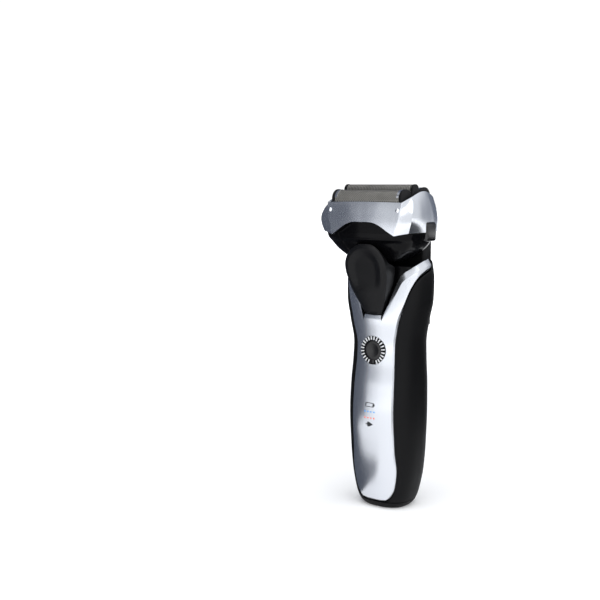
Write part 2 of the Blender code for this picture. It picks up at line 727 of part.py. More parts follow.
# ================================================================ neck
def neck():
    angles = [i * 12.0 for i in range(30)]
    rows = []
    for height in (NECK_BOTTOM, 97.0 * MM, 103.0 * MM, 109.0 * MM, 113.0 * MM, 116.0 * MM):
        rows.append([handle_point(angle, height, NECK_INSET) for angle in angles])
    shoulder = rows[-1]
    for share, height in ((0.97, 119.0 * MM), (0.88, NECK_TOP)):
        rows.append([Vector((point.x * share, point.y, height)) for point in shoulder])
    neck_body = grid_surface("neck", rows, GLOSS_BLACK, closed=True, cap="both")
    cut_box(neck_body, (-40 * MM, NECK_BACK - GAP, 80 * MM), (40 * MM, 40 * MM, 140 * MM))
    for front, back in yoke_spans():
        low = (-YOKE_HALF_WIDTH, front, NECK_TOP - 3 * MM)
        join_box(neck_body, low, (YOKE_HALF_WIDTH, back, PIVOT_Z))
        middle = (front + back) / 2
        lug = cylinder("lug", YOKE_HALF_WIDTH, back - front, (0, middle, PIVOT_Z), "Y")
        boolean(neck_body, lug, "UNION")
    length = yoke_spans()[1][1] - yoke_spans()[0][0] + 4 * MM
    middle = (yoke_spans()[1][1] + yoke_spans()[0][0]) / 2
    cut_cylinder(neck_body, PIVOT_RADIUS + GAP, length, (0, middle, PIVOT_Z), "Y", 20)
    cut_cylinder(neck_body, 2.4 * MM, 80 * MM, (0, (HUB_FRONT + HUB_BACK) / 2, 100 * MM), sides=16)


def yoke_spans():
    """Front and rear lug of the yoke, as (front, back) in y."""
    front = (HUB_FRONT - GAP - YOKE_THICKNESS, HUB_FRONT - GAP)
    rear = (HUB_BACK + GAP, HUB_BACK + GAP + YOKE_THICKNESS)
    return front, rear


def pivot_pin():
    front = yoke_spans()[0][0] + 0.2 * MM
    back = yoke_spans()[1][1] - 0.2 * MM
    place = (0, (front + back) / 2, PIVOT_Z)
    cylinder("pivot_pin", PIVOT_RADIUS, back - front, place, "Y", STEEL, sides=20)


def neck_gasket():
    angles = [i * 15.0 for i in range(24)]
    heights = (CASE_TOP + GAP, CASE_TOP + GAP + GASKET_HEIGHT)
    rows = [[handle_point(angle, height, CASE_INSET) for angle in angles] for height in heights]
    gasket = grid_surface("neck_gasket", rows, SEAL_RUBBER, closed=True)
    solidify(gasket, GASKET_WALL)
    cut_box(gasket, (-40 * MM, NECK_BACK - GAP, 80 * MM), (40 * MM, 40 * MM, 140 * MM))
    reach = skin_half_width(heights[0], NECK_BACK - GAP, CASE_INSET) - GASKET_WALL / 3
    low = (-reach, NECK_BACK - GAP - GASKET_WALL, heights[0])
    join_box(gasket, low, (reach, NECK_BACK - GAP, heights[1]))


def thumb_half_width(height):
    if height > THUMB_CENTRE:
        rise = min(1.0, (height - THUMB_CENTRE) / THUMB_RADIUS)
        return THUMB_RADIUS * math.sqrt(max(0.0, 1 - rise ** 2))
    drop = (THUMB_CENTRE - height) / (THUMB_CENTRE - THUMB_BOTTOM)
    return THUMB_RADIUS + (THUMB_FOOT - THUMB_RADIUS) * drop ** 1.7


def thumb_rest():
    heights = [97.6, 101.0, 105.0, 109.0, 113.0, 117.0, 120.5, 123.0, 125.5, 128.0, 130.0, 131.3]
    across = spread(-1.0, 1.0, 9)
    rows = []
    for value in heights:
        height = value * MM
        width = thumb_half_width(height)
        rim = HANDLE_DEPTH * smooth_value(column(THUMB_STATIONS, 1), height)
        back = HANDLE_DEPTH * smooth_value(column(THUMB_STATIONS, 2), height)
        dish = THUMB_DISH if height > 110 * MM else 0.0
        ring = []
        for share in across:
            crown = 1.4 * MM * (1 - share ** 2) if height < 112 * MM else -dish * (1 - share ** 2)
            edge = 1.6 * MM if abs(share) == 1.0 else 0.0
            ring.append(Vector((width * share, -(rim + crown) + edge, height)))
        for share in reversed(across):
            ring.append(Vector((width * share * 0.92, -back, height)))
        rows.append(ring)
    grid_surface("thumb_rest", rows, MATTE_BLACK, closed=True, cap="both")


# ================================================================ head shell
def frame_curve(points):
    """Mirror the half outline into a full ring, counter-clockwise seen from above."""
    half = [Vector(point) * MM for point in points]
    left = [Vector((-p.x, p.y, p.z)) for p in reversed(half[1:-1])]
    return half + left


def frame_ring(share, inset=0.0):
    """Ring of the frame between its lower edge (0) and its upper edge (1)."""
    ring = []
    bottom = frame_curve(FRAME_BOTTOM)
    top = frame_curve(FRAME_TOP)
    for low, high, swell in zip(bottom, top, frame_curve(FRAME_SWELL)):
        point = low.lerp(high, share) + swell * math.sin(math.pi * share)
        point.x -= math.copysign(min(abs(point.x), inset), point.x)
        point.y -= math.copysign(inset, point.y - HEAD_CENTRE_Y)
        ring.append(point)
    return ring


def foil_frame():
    rows = [frame_ring(share) for share in spread(0.0, 1.0, FRAME_LEVELS + 1)]
    frame = grid_surface("foil_frame", rows, SILVER, closed=True)
    solidify(frame, FRAME_WALL)
    for side in (-1, 1):
        inner = side * 20 * MM
        outer = side * 32 * MM
        low = (min(inner, outer), RELEASE_Y - RELEASE_HALF_DEPTH - GAP, 130 * MM)
        high = (max(inner, outer), RELEASE_Y + RELEASE_HALF_DEPTH + GAP, RELEASE_TOP + GAP)
        cut_box(frame, low, high)
    for place in rivet_places():
        cut_cylinder(frame, RIVET_RADIUS * 0.6 + GAP, 8 * MM, place, "Y", 12)


def rivet_places():
    """Points on the frame's front face, inboard of its corners."""
    corner = frame_ring(RIVET_SHARE)[5]
    x = corner.x - RIVET_INSET
    return [(x, corner.y, corner.z), (-x, corner.y, corner.z)]


def rivets():
    for number, (x, y, z) in enumerate(rivet_places(), 1):
        face = y - RIVET_PROUD
        profile = [
            (0.0, face + 2.6 * MM), (RIVET_RADIUS * 0.6, face + 2.6 * MM),
            (RIVET_RADIUS * 0.6, face + 0.25 * MM), (RIVET_RADIUS, face + 0.25 * MM),
            (RIVET_RADIUS * 0.7, face), (0.0, face),
        ]
        turned("frame_rivet_%d" % number, profile, CHROME, (x, 0, z), "Y", 12)


def base_ring(height, width, front, back, inset=0.0):
    ring = []
    reference = frame_curve(FRAME_BOTTOM)
    wide = max(point.x for point in reference)
    ahead = min(point.y for point in reference)
    behind = max(point.y for point in reference)
    for point in reference:
        reach = ahead if point.y < HEAD_CENTRE_Y else behind
        end = front + inset if point.y < HEAD_CENTRE_Y else back - inset
        share = (point.y - HEAD_CENTRE_Y) / (reach - HEAD_CENTRE_Y)
        y = HEAD_CENTRE_Y + share * (end - HEAD_CENTRE_Y)
        ring.append(Vector((point.x / wide * (width - inset), y, height)))
    return ring


def head_base():
    rows = [base_ring(*station) for station in BASE_STATIONS]
    inset = FRAME_WALL + 2 * GAP
    height, width, front, back = BASE_STATIONS[-1]
    skirt = [(height, inset), (SKIRT_TOP - 4 * MM, inset), (SKIRT_TOP, inset + SKIRT_LEAN)]
    ahead = front + GAP
    rows += [base_ring(level, width, ahead - step, back, step) for level, step in skirt]
    skirt[0] = (height + BASE_WALL, inset)
    for level, step in reversed(skirt):
        rows.append(base_ring(level, width, ahead - step, back, step + BASE_WALL))
    for level, wide, ahead, behind in reversed(BASE_STATIONS[:-3]):
        rows.append(base_ring(level + BASE_WALL, wide, ahead, behind, BASE_SIDE_WALL))
    base = grid_surface("head_base", rows, GLOSS_BLACK, closed=True, cap="both")
    floor = BASE_STATIONS[0][0]
    low = (-HUB_HALF_WIDTH, HUB_FRONT + HUB_STEP, floor + 0.2 * MM)
    join_box(base, low, (HUB_HALF_WIDTH, HUB_BACK - HUB_STEP, HUB_TOP))
    swing = math.sin(math.radians(HEAD_SWING)) * (PIVOT_Z - floor)
    slot = YOKE_HALF_WIDTH + swing + 2 * GAP
    for front, back in yoke_spans():
        low = (-slot, front - GAP, floor - 2 * MM)
        cut_box(base, low, (slot, back + GAP, PIVOT_Z + 5 * MM))
    middle = (HUB_FRONT + HUB_BACK) / 2
    cut_cylinder(base, PIVOT_RADIUS + GAP, 30 * MM, (0, middle, PIVOT_Z), "Y", 20)
    for side in (-1, 1):
        inner = side * 18 * MM
        outer = side * 32 * MM
        low = (min(inner, outer), RELEASE_Y - RELEASE_HALF_DEPTH - GAP, RELEASE_BOTTOM - GAP)
        high = (max(inner, outer), RELEASE_Y + RELEASE_HALF_DEPTH + GAP, RELEASE_TOP + GAP)
        cut_box(base, low, high)


def release_buttons():
    for name, side in (("release_button_left", -1), ("release_button_right", 1)):
        outer = side * RELEASE_FACE
        inner = side * (RELEASE_FACE - RELEASE_THICKNESS)
        low = (min(inner, outer), RELEASE_Y - RELEASE_HALF_DEPTH, RELEASE_BOTTOM)
        high = (max(inner, outer), RELEASE_Y + RELEASE_HALF_DEPTH, RELEASE_TOP)
        box(name, low, high, GLOSS_BLACK, rounding=0.9 * MM, segments=2)
    for name, side in (("release_spring_left", -1), ("release_spring_right", 1)):
        near = side * (RELEASE_FACE - RELEASE_THICKNESS - RELEASE_TRAVEL - GAP)
        far = near - side * SPRING_THICKNESS
        low = (min(near, far), RELEASE_Y - 2.0 * MM, RELEASE_BOTTOM + 1.0 * MM)
        high = (max(near, far), RELEASE_Y + 2.0 * MM, RELEASE_TOP - 1.0 * MM)
        box(name, low, high, STEEL)


# ================================================================ foils and blades
def arch(y, z, radius, leg, sides=12):
    """Half circle with straight legs, from the front leg's foot over to the rear one's."""
    points = [(y - radius, z - leg)]
    for i in range(sides + 1):
        turn = math.pi * (1 - i / sides)
        points.append((y + radius * math.cos(turn), z + radius * math.sin(turn)))
    points.append((y + radius, z - leg))
    return points


def foils():
    for name, y, z, radius in FOILS:
        outer = arch(y, z, radius, FOIL_LEG)
        inner = arch(y, z, radius - FOIL_SHEET, FOIL_LEG)
        extruded(name + "_foil", outer + list(reversed(inner)), FOIL_HALF_LENGTH, FOIL_STEEL, (0, 0, 0))


def blades():
    for name, y, z, radius in FOILS:
        core = radius - FOIL_SHEET - GAP
        foot = 1.6 * MM
        blade = extruded(name + "_blade", arch(y, z, core, foot, 10), BLADE_HALF_LENGTH, STEEL, (0, 0, 0))
        socket_top = z + core - 1.0 * MM
        low = (-PIN_HALF_WIDTH - GAP, y - PIN_HALF_DEPTH - GAP, z - foot - 2 * MM)
        cut_box(blade, low, (PIN_HALF_WIDTH + GAP, y + PIN_HALF_DEPTH + GAP, socket_top))


def pin_top(z, radius):
    """Driver pins stop a float and a clearance below the socket's ceiling."""
    return z + radius - FOIL_SHEET - GAP - 1.0 * MM - FOIL_FLOAT - GAP


def motor():
    low = (-MOTOR_HALF_WIDTH, FOILS[0][1] - 2 * MM, MOTOR_BASE)
    high = (MOTOR_HALF_WIDTH, FOILS[2][1] + 2 * MM, MOTOR_TOP)
    box("motor_stator", low, high, COPPER, rounding=1.0 * MM)
    base = MOTOR_TOP + GAP
    top = base + ARMATURE_HEIGHT
    half = MOTOR_HALF_WIDTH - 2 * BLADE_TRAVEL
    front_y = FOILS[0][1]
    rear_y = FOILS[2][1]
    rail = 1.4 * MM
    outer = box("outer_armature", (-half, front_y - rail, base), (half, rear_y + rail, top), STEEL)
    window = 6.0 * MM
    cut_box(outer, (-window, front_y + rail, base - 1 * MM), (window, rear_y - rail, top + 1 * MM))
    for name, y, z, radius in FOILS:
        if name == "middle":
            continue
        low = (-PIN_HALF_WIDTH, y - PIN_HALF_DEPTH, base + 0.2 * MM)
        join_box(outer, low, (PIN_HALF_WIDTH, y + PIN_HALF_DEPTH, pin_top(z, radius)))
    name, y, z, radius = FOILS[1]
    inner = window - 2 * BLADE_TRAVEL - 2 * GAP
    low = (-inner, front_y + rail + GAP, base)
    middle = box("middle_armature", low, (inner, rear_y - rail - GAP, top), STEEL)
    low = (-PIN_HALF_WIDTH, y - PIN_HALF_DEPTH, base + 0.2 * MM)
    join_box(middle, low, (PIN_HALF_WIDTH, y + PIN_HALF_DEPTH, pin_top(z, radius)))


def foil_cassette():
    """Black carrier: two arched ends, and rails beside the foils."""
    inner_x = FOIL_HALF_LENGTH + GAP
    outer_x = inner_x + CASSETTE_END
    reach = GAP
    outline = [
        (FOILS[0][1] - FOILS[0][3] - reach, CASSETTE_BASE),
        (FOILS[0][1] - FOILS[0][3] - reach, FOILS[0][2] - 0.5 * MM),
        (FOILS[0][1] - 3.4 * MM, FOILS[0][2] + 3.8 * MM),
        (FOILS[0][1], FOILS[0][2] + FOILS[0][3] + 0.3 * MM),
        (FOILS[0][1] + 3.4 * MM, FOILS[0][2] + 4.2 * MM),
        (FOILS[1][1] - 1.8 * MM, FOILS[1][2] + 2.3 * MM),
        (FOILS[1][1], FOILS[1][2] + FOILS[1][3] + 0.2 * MM),
        (FOILS[1][1] + 1.8 * MM, FOILS[1][2] + 2.3 * MM),
        (FOILS[2][1] - 3.0 * MM, FOILS[2][2] + 4.4 * MM),
        (FOILS[2][1], FOILS[2][2] + FOILS[2][3] + 0.3 * MM),
        (FOILS[2][1] + 3.4 * MM, FOILS[2][2] + 3.8 * MM),
        (FOILS[2][1] + FOILS[2][3] + reach, FOILS[2][2] - 0.5 * MM),
        (FOILS[2][1] + FOILS[2][3] + reach, CASSETTE_BASE),
    ]
    centre = (inner_x + outer_x) / 2
    cassette = extruded("foil_cassette", outline, CASSETTE_END / 2, MATTE_BLACK, (centre, 0, 0))
    other = extruded("cassette_end", outline, CASSETTE_END / 2, None, (-centre, 0, 0))
    boolean(cassette, other, "UNION")
    gaps = rail_gaps()
    for front, back in gaps:
        low = (-centre, front, CASSETTE_BASE + 0.1 * MM)
        join_box(cassette, low, (centre, back, CASSETTE_BASE + RAIL_HEIGHT))


def rail_gaps():
    """Spaces between neighbouring foils that the cassette's rails fill."""
    gaps = []
    for (_, y1, _, r1), (_, y2, _, r2) in zip(FOILS, FOILS[1:]):
        gaps.append((y1 + r1 + GAP, y2 - r2 - GAP))
    return gaps


# ================================================================ trimmer
def trimmer_housing():
    low = (-TRIMMER_HALF_WIDTH, TRIMMER_FRONT, TRIMMER_BOTTOM)
    high = (TRIMMER_HALF_WIDTH, TRIMMER_BACK, TRIMMER_TOP)
    housing = box("trimmer_housing", low, high, GLOSS_BLACK, rounding=1.2 * MM, segments=2)
    pocket = (-POCKET_HALF_WIDTH, POCKET_FLOOR, POCKET_BOTTOM)
    cut_box(housing, pocket, (POCKET_HALF_WIDTH, 30 * MM, TRIMMER_TOP + 5 * MM))
    cut_cylinder(housing, ARM_PIN_RADIUS + GAP, 60 * MM, (0, ARM_PIVOT_Y, ARM_PIVOT_Z), "X", 16)
    return housing


def trimmer_arm():
    half = POCKET_HALF_WIDTH - GAP
    front = ARM_PIVOT_Y - ARM_ROUND
    back = ARM_PIVOT_Y + ARM_ROUND
    outline = []
    for i in range(9):
        turn = math.pi + math.pi * i / 8
        outline.append((ARM_PIVOT_Y + ARM_ROUND * math.cos(turn), ARM_PIVOT_Z + ARM_ROUND * math.sin(turn)))
    step = ARM_TOP - 3.5 * MM
    moving_front = ARM_PIVOT_Y - 0.2 * MM
    outline += [(back, step), (moving_front - GAP, step), (moving_front - GAP, ARM_TOP), (front, ARM_TOP)]
    arm = extruded("trimmer_arm", outline, half, MATTE_BLACK, (0, 0, 0))
    cut_cylinder(arm, ARM_PIN_RADIUS + GAP, 60 * MM, (0, ARM_PIVOT_Y, ARM_PIVOT_Z), "X", 16)
    pin_length = 2 * TRIMMER_HALF_WIDTH - 1.0 * MM
    place = (0, ARM_PIVOT_Y, ARM_PIVOT_Z)
    cylinder("trimmer_hinge_pin", ARM_PIN_RADIUS, pin_length, place, "X", STEEL, sides=16)
    base = step + GAP
    width = half - BLADE_TRAVEL - GAP
    comb("trimmer_moving_blade", width, moving_front, base, ARM_TOP + 1.8 * MM, 11)
    fixed_front = moving_front + BLADE_PLATE + GAP
    comb("trimmer_fixed_blade", half - 0.4 * MM, fixed_front, base, ARM_TOP + 2.4 * MM, 11)


def comb(name, half_width, front, base, tip, teeth):
    """Flat cutter plate with a row of teeth along its upper edge."""
    root = tip - 1.6 * MM
    pitch = 2 * half_width / (2 * teeth - 1)
    outline = [(-half_width, base), (half_width, base)]
    x = half_width
    for tooth in range(teeth):
        outline += [(x, tip), (x - pitch, tip)]
        x -= pitch
        if tooth < teeth - 1:
            outline += [(x, root), (x - pitch, root)]
            x -= pitch
    extruded(name, outline, BLADE_PLATE / 2, STEEL, (0, front + BLADE_PLATE / 2, 0), "Y")


def trimmer_slider():
    front = POCKET_FLOOR + GAP
    low = (-SLIDER_HALF_WIDTH, front, SLIDER_BOTTOM)
    high = (SLIDER_HALF_WIDTH, TRIMMER_BACK + 0.6 * MM, SLIDER_TOP)
    slider = box("trimmer_slider", low, high, MATTE_BLACK, rounding=0.5 * MM)
    for i in range(3):
        z = SLIDER_BOTTOM + (SLIDER_TOP - SLIDER_BOTTOM) * (0.3 + 0.2 * i)
        cut_box(slider, (-4.5 * MM, TRIMMER_BACK, z), (4.5 * MM, TRIMMER_BACK + 3 * MM, z + 0.7 * MM))


# ================================================================ assembly
HEAD_PIECES = [
    "head_base", "motor_stator", "outer_armature", "middle_armature", "front_blade", "middle_blade",
    "rear_blade", "front_foil", "middle_foil", "rear_foil", "foil_cassette", "foil_frame", "frame_rivet_1",
    "frame_rivet_2", "release_button_left", "release_button_right", "release_spring_left",
    "release_spring_right",
]
ARM_PIECES = ["trimmer_arm", "trimmer_moving_blade", "trimmer_fixed_blade"]


def hang_on_pivot(name, place, pieces):
    """Parent the pieces to an empty on their hinge's axis without moving them."""
    pivot = bpy.data.objects.new(name, None)
    pivot.empty_display_size = 5 * MM
    pivot.location = place
    PARTS.objects.link(pivot)
    for piece in pieces:
        item = bpy.data.objects[piece]
        item.parent = pivot
        item.matrix_parent_inverse = Matrix.Translation(-Vector(place))


def centre_on_box():
    """Move everything along Y so that the origin is the middle of the overall box."""
    bpy.context.view_layer.update()
    depsgraph = bpy.context.evaluated_depsgraph_get()
    depths = []
    for item in PARTS.objects:
        if item.type == "MESH":
            solid = item.evaluated_get(depsgraph)
            depths += [(item.matrix_world @ vert.co).y for vert in solid.data.vertices]
    shift = -(min(depths) + max(depths)) / 2
    for item in list(PARTS.objects) + list(CUTTERS.objects):
        if item.parent is None:
            item.location.y += shift


def main():
    front_panel()
    grip_shell()
    bottom_cap()
    inner_case()
    bottom_screws()
    battery()
    circuit_board()
    power_button()
    inlet()
    neck()
    pivot_pin()
    neck_gasket()
    thumb_rest()
    foil_frame()
    rivets()
    head_base()
    release_buttons()
    foils()
    blades()
    motor()
    foil_cassette()
    trimmer_housing()
    trimmer_arm()
    trimmer_slider()
    hang_on_pivot("head_pivot", (0, (HUB_FRONT + HUB_BACK) / 2, PIVOT_Z), HEAD_PIECES)
    hang_on_pivot("trimmer_pivot", (0, ARM_PIVOT_Y, ARM_PIVOT_Z), ARM_PIECES)
    centre_on_box()


main()
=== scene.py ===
"""Looks of a cordless foil shaver: fine shells, finishes, studio and camera around the fixed solids."""
from __future__ import annotations

import json
import logging
import math
from dataclasses import dataclass, field
from enum import Enum
from typing import Callable, Sequence

import bpy
from mathutils import Matrix, Vector


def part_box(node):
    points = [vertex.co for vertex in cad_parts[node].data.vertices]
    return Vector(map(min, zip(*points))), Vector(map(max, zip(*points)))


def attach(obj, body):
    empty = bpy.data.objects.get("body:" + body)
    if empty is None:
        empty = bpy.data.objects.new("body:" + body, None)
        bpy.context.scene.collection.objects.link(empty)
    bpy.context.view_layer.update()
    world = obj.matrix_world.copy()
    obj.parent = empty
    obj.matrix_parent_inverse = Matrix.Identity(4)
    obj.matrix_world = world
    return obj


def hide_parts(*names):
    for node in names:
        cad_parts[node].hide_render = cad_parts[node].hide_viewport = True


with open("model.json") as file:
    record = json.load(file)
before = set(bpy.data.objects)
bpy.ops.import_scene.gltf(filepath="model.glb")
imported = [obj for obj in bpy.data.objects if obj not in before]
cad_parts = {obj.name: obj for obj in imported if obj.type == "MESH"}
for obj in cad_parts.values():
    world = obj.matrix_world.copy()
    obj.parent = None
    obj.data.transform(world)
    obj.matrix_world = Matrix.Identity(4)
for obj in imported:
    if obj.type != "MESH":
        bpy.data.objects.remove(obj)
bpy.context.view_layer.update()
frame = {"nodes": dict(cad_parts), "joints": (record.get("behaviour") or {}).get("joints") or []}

MM = 0.001
GAP = 0.3 * MM
Ring = list[Vector]

logging.basicConfig(level=logging.INFO, format="%(message)s")
LOG = logging.getLogger("shaver")


def joint_place(name: str) -> Vector:
    """Return the point on a hinge's axis, in metres."""
    return next(Vector(joint["pos_m"]) for joint in frame["joints"] if joint["name"] == name)


HUB_MIDDLE = -3.4 * MM       # the head's hub, measured from the handle's own axis
AXIS_Y = joint_place("head_swing").y - HUB_MIDDLE
HUB = Vector((0, joint_place("head_swing").y, joint_place("head_swing").z))
LUG_APART = 5.6 * MM         # from the hub's middle to each lug of the neck's yoke
PIN_HOLE = 1.7 * MM          # radius of the bore for the pivot pin


def at(x: float, y: float, z: float) -> Vector:
    """Turn a place measured from the handle's axis into one in the shared frame."""
    return Vector((x, y + AXIS_Y, z))


# ---------------------------------------------------------------- curves and small maths
def spread(start: float, end: float, count: int) -> list[float]:
    """Return evenly spaced values from start to end."""
    return [start + (end - start) * i / (count - 1) for i in range(count)]


def smooth(value: float) -> float:
    """Ease a value from 0 to 1, clamped at both ends."""
    value = min(1.0, max(0.0, value))
    return value * value * (3.0 - 2.0 * value)


def through(points: Sequence[tuple[float, float]], place: float) -> float:
    """Read a monotone cubic through (place, value) points.

    Args:
        points: The points, with rising places.
        place: Where to read; beyond the ends the value stays constant.

    Returns:
        The value of the curve there.
    """
    if place <= points[0][0]:
        return points[0][1]
    if place >= points[-1][0]:
        return points[-1][1]
    index = 0
    while points[index + 1][0] < place:
        index += 1
    slopes = [(b[1] - a[1]) / (b[0] - a[0]) for a, b in zip(points, points[1:])]

    def tangent(i: int) -> float:
        """Return the slope of the curve at one of its points."""
        if i in (0, len(points) - 1):
            return slopes[0] if i == 0 else slopes[-1]
        if slopes[i - 1] * slopes[i] <= 0:
            return 0.0
        return 2 * slopes[i - 1] * slopes[i] / (slopes[i - 1] + slopes[i])

    width = points[index + 1][0] - points[index][0]
    t = (place - points[index][0]) / width
    ends = (2 * t ** 3 - 3 * t ** 2 + 1) * points[index][1] + (3 * t ** 2 - 2 * t ** 3) * points[index + 1][1]
    turns = (t ** 3 - 2 * t ** 2 + t) * tangent(index) + (t ** 3 - t ** 2) * tangent(index + 1)
    return ends + width * turns


def flowing(points: Sequence[Vector], steps: int) -> Ring:
    """Run a smooth line through points, ending on the first and the last.

    Args:
        points: The points that the line passes.
        steps: How many pieces each stretch between two points is cut into.

    Returns:
        The finer line.
    """
    line = []
    padded = [2 * points[0] - points[1], *points, 2 * points[-1] - points[-2]]
    for a, b, c, d in zip(padded, padded[1:], padded[2:], padded[3:]):
        for i in range(steps):
            t = i / steps
            bend = (2 * a - 5 * b + 4 * c - d) * t ** 2 + (3 * b - a - 3 * c + d) * t ** 3
            line.append(0.5 * (2 * b + (c - a) * t + bend))
    return line + [points[-1].copy()]


# ---------------------------------------------------------------- mesh work
def only(item: bpy.types.Object) -> None:
    """Select one object and make it the active one."""
    bpy.ops.object.select_all(action="DESELECT")
    item.select_set(True)
    bpy.context.view_layer.objects.active = item


def named(name: str) -> bpy.types.Object:
    """Name the newest object and its mesh, and return it."""
    item = bpy.context.object
    item.name = name
    item.data.name = name
    return item


def settle(item: bpy.types.Object) -> bpy.types.Object:
    """Put an object's place, turn and size into its mesh."""
    only(item)
    bpy.ops.object.transform_apply(location=True, rotation=True, scale=True)
    return item


def modify(item: bpy.types.Object, kind: str, **settings: object) -> bpy.types.Object:
    """Add a modifier with its settings and apply it.

    Args:
        item: The object to change.
        kind: The modifier's type, as Blender names it.
        settings: The modifier's own settings.

    Returns:
        The same object.
    """
    only(item)
    step = item.modifiers.new(kind.lower(), kind)
    for name, value in settings.items():
        setattr(step, name, value)
    bpy.ops.object.modifier_apply(modifier=step.name)
    return item


def tidy_mesh(item: bpy.types.Object, close: bool = False) -> bpy.types.Object:
    """Merge doubles, optionally close open ends, and turn the faces outwards."""
    only(item)
    bpy.ops.object.mode_set(mode="EDIT")
    bpy.ops.mesh.select_all(action="SELECT")
    bpy.ops.mesh.remove_doubles(threshold=1e-6)
    if close:
        bpy.ops.mesh.fill_holes(sides=0)
        bpy.ops.mesh.select_all(action="SELECT")
    bpy.ops.mesh.normals_make_consistent(inside=False)
    bpy.ops.object.mode_set(mode="OBJECT")
    return item


def face_out(item: bpy.types.Object, place: Vector, way: Vector) -> bpy.types.Object:
    """Turn an open sheet's faces over if the one nearest a place looks against a way."""
    only(item)
    nearest = min(item.data.polygons, key=lambda face: (face.center - place).length)
    if nearest.normal.dot(way) < 0:
        bpy.ops.object.mode_set(mode="EDIT")
        bpy.ops.mesh.select_all(action="SELECT")
        bpy.ops.mesh.flip_normals()
        bpy.ops.object.mode_set(mode="OBJECT")
    return item


def soften(item: bpy.types.Object, angle: float = 30.0) -> bpy.types.Object:
    """Shade an object smooth, with creases sharper than an angle in degrees kept."""
    only(item)
    bpy.ops.object.shade_smooth_by_angle(angle=math.radians(angle))
    return item


def rounded(item: bpy.types.Object, width: float, segments: int = 2, angle: float = 30.0) -> bpy.types.Object:
    """Round the edges of an object that turn by more than an angle."""
    return modify(
        item, "BEVEL", width=width, segments=segments, limit_method="ANGLE", angle_limit=math.radians(angle)
    )


def cut(item: bpy.types.Object, tool: bpy.types.Object, operation: str = "DIFFERENCE") -> bpy.types.Object:
    """Cut, join or cross an object with a tool shape, which is then deleted."""
    modify(item, "BOOLEAN", operation=operation, object=tool, solver="MANIFOLD")
    bpy.data.objects.remove(tool, do_unlink=True)
    return item


def joined(name: str, items: Sequence[bpy.types.Object]) -> bpy.types.Object:
    """Join several objects into the first one and rename it."""
    only(items[0])
    for item in items:
        item.select_set(True)
    bpy.ops.object.join()
    return named(name)


def block(name: str, low: Vector, high: Vector, edge: float = 0.0) -> bpy.types.Object:
    """Add a box between two corners, with rounded edges if asked."""
    bpy.ops.mesh.primitive_cube_add(size=1.0, location=(low + high) / 2)
    item = named(name)
    item.scale = high - low
    settle(item)
    return rounded(item, edge, 3) if edge else item


def round_bar(
    name: str, radius: float, length: float, place: Vector, axis: str, sides: int = 48
) -> bpy.types.Object:
    """Add a cylinder centred on a place, along X, Y or Z."""
    turns = {"X": (0.0, math.pi / 2, 0.0), "Y": (math.pi / 2, 0.0, 0.0), "Z": (0.0, 0.0, 0.0)}
    bpy.ops.mesh.primitive_cylinder_add(
        vertices=sides, radius=radius, depth=length, location=place, rotation=turns[axis]
    )
    return settle(named(name))


def shaped_grid(name: str, columns: int, rows: int, shape: Callable[[int, int], Vector]) -> bpy.types.Object:
    """Add a grid and move each of its points to a place worked out from its column and row.

    Args:
        name: The object's name.
        columns: How many points the grid has across.
        rows: How many points it has upwards.
        shape: Gives the place of a point, measured from the handle's axis.

    Returns:
        The new sheet, open at its sides.
    """
    bpy.ops.mesh.primitive_grid_add(x_subdivisions=columns - 1, y_subdivisions=rows - 1, size=1.0)
    item = named(name)
    for vert in item.data.vertices:
        column = round((vert.co.x + 0.5) * (columns - 1))
        row = round((vert.co.y + 0.5) * (rows - 1))
        vert.co = at(*shape(column, row))
    return item


def lofted(name: str, rings: Sequence[Ring], close: bool = True) -> bpy.types.Object:
    """Build a skin over closed rings of equal count, listed upwards and counter-clockwise.

    Args:
        name: The object's name.
        rings: The rings, measured from the handle's axis.
        close: Whether the first and last ring are filled.

    Returns:
        The closed skin, facing out.
    """
    count = len(rings[0])
    item = shaped_grid(name, count + 1, len(rings), lambda i, j: rings[j][i % count])
    return tidy_mesh(item, close)


def turned(
    name: str, profile: Sequence[tuple[float, float]], place: Vector, steps: int = 64
) -> bpy.types.Object:
    """Spin a profile about an axis along Y.

    Args:
        name: The object's name.
        profile: Points as (radius, place along Y), from the front centre outwards and back.
        place: Where the axis and the profile's zero lie.
        steps: How many facets go round.

    Returns:
        The closed turned shape.
    """
    rings = []
    for radius, along in profile:
        ring = []
        for i in range(steps):
            turn = 2 * math.pi * i / steps
            ring.append(place + Vector((radius * math.cos(turn), along, radius * math.sin(turn))))
        rings.append(ring)
    return lofted(name, rings)


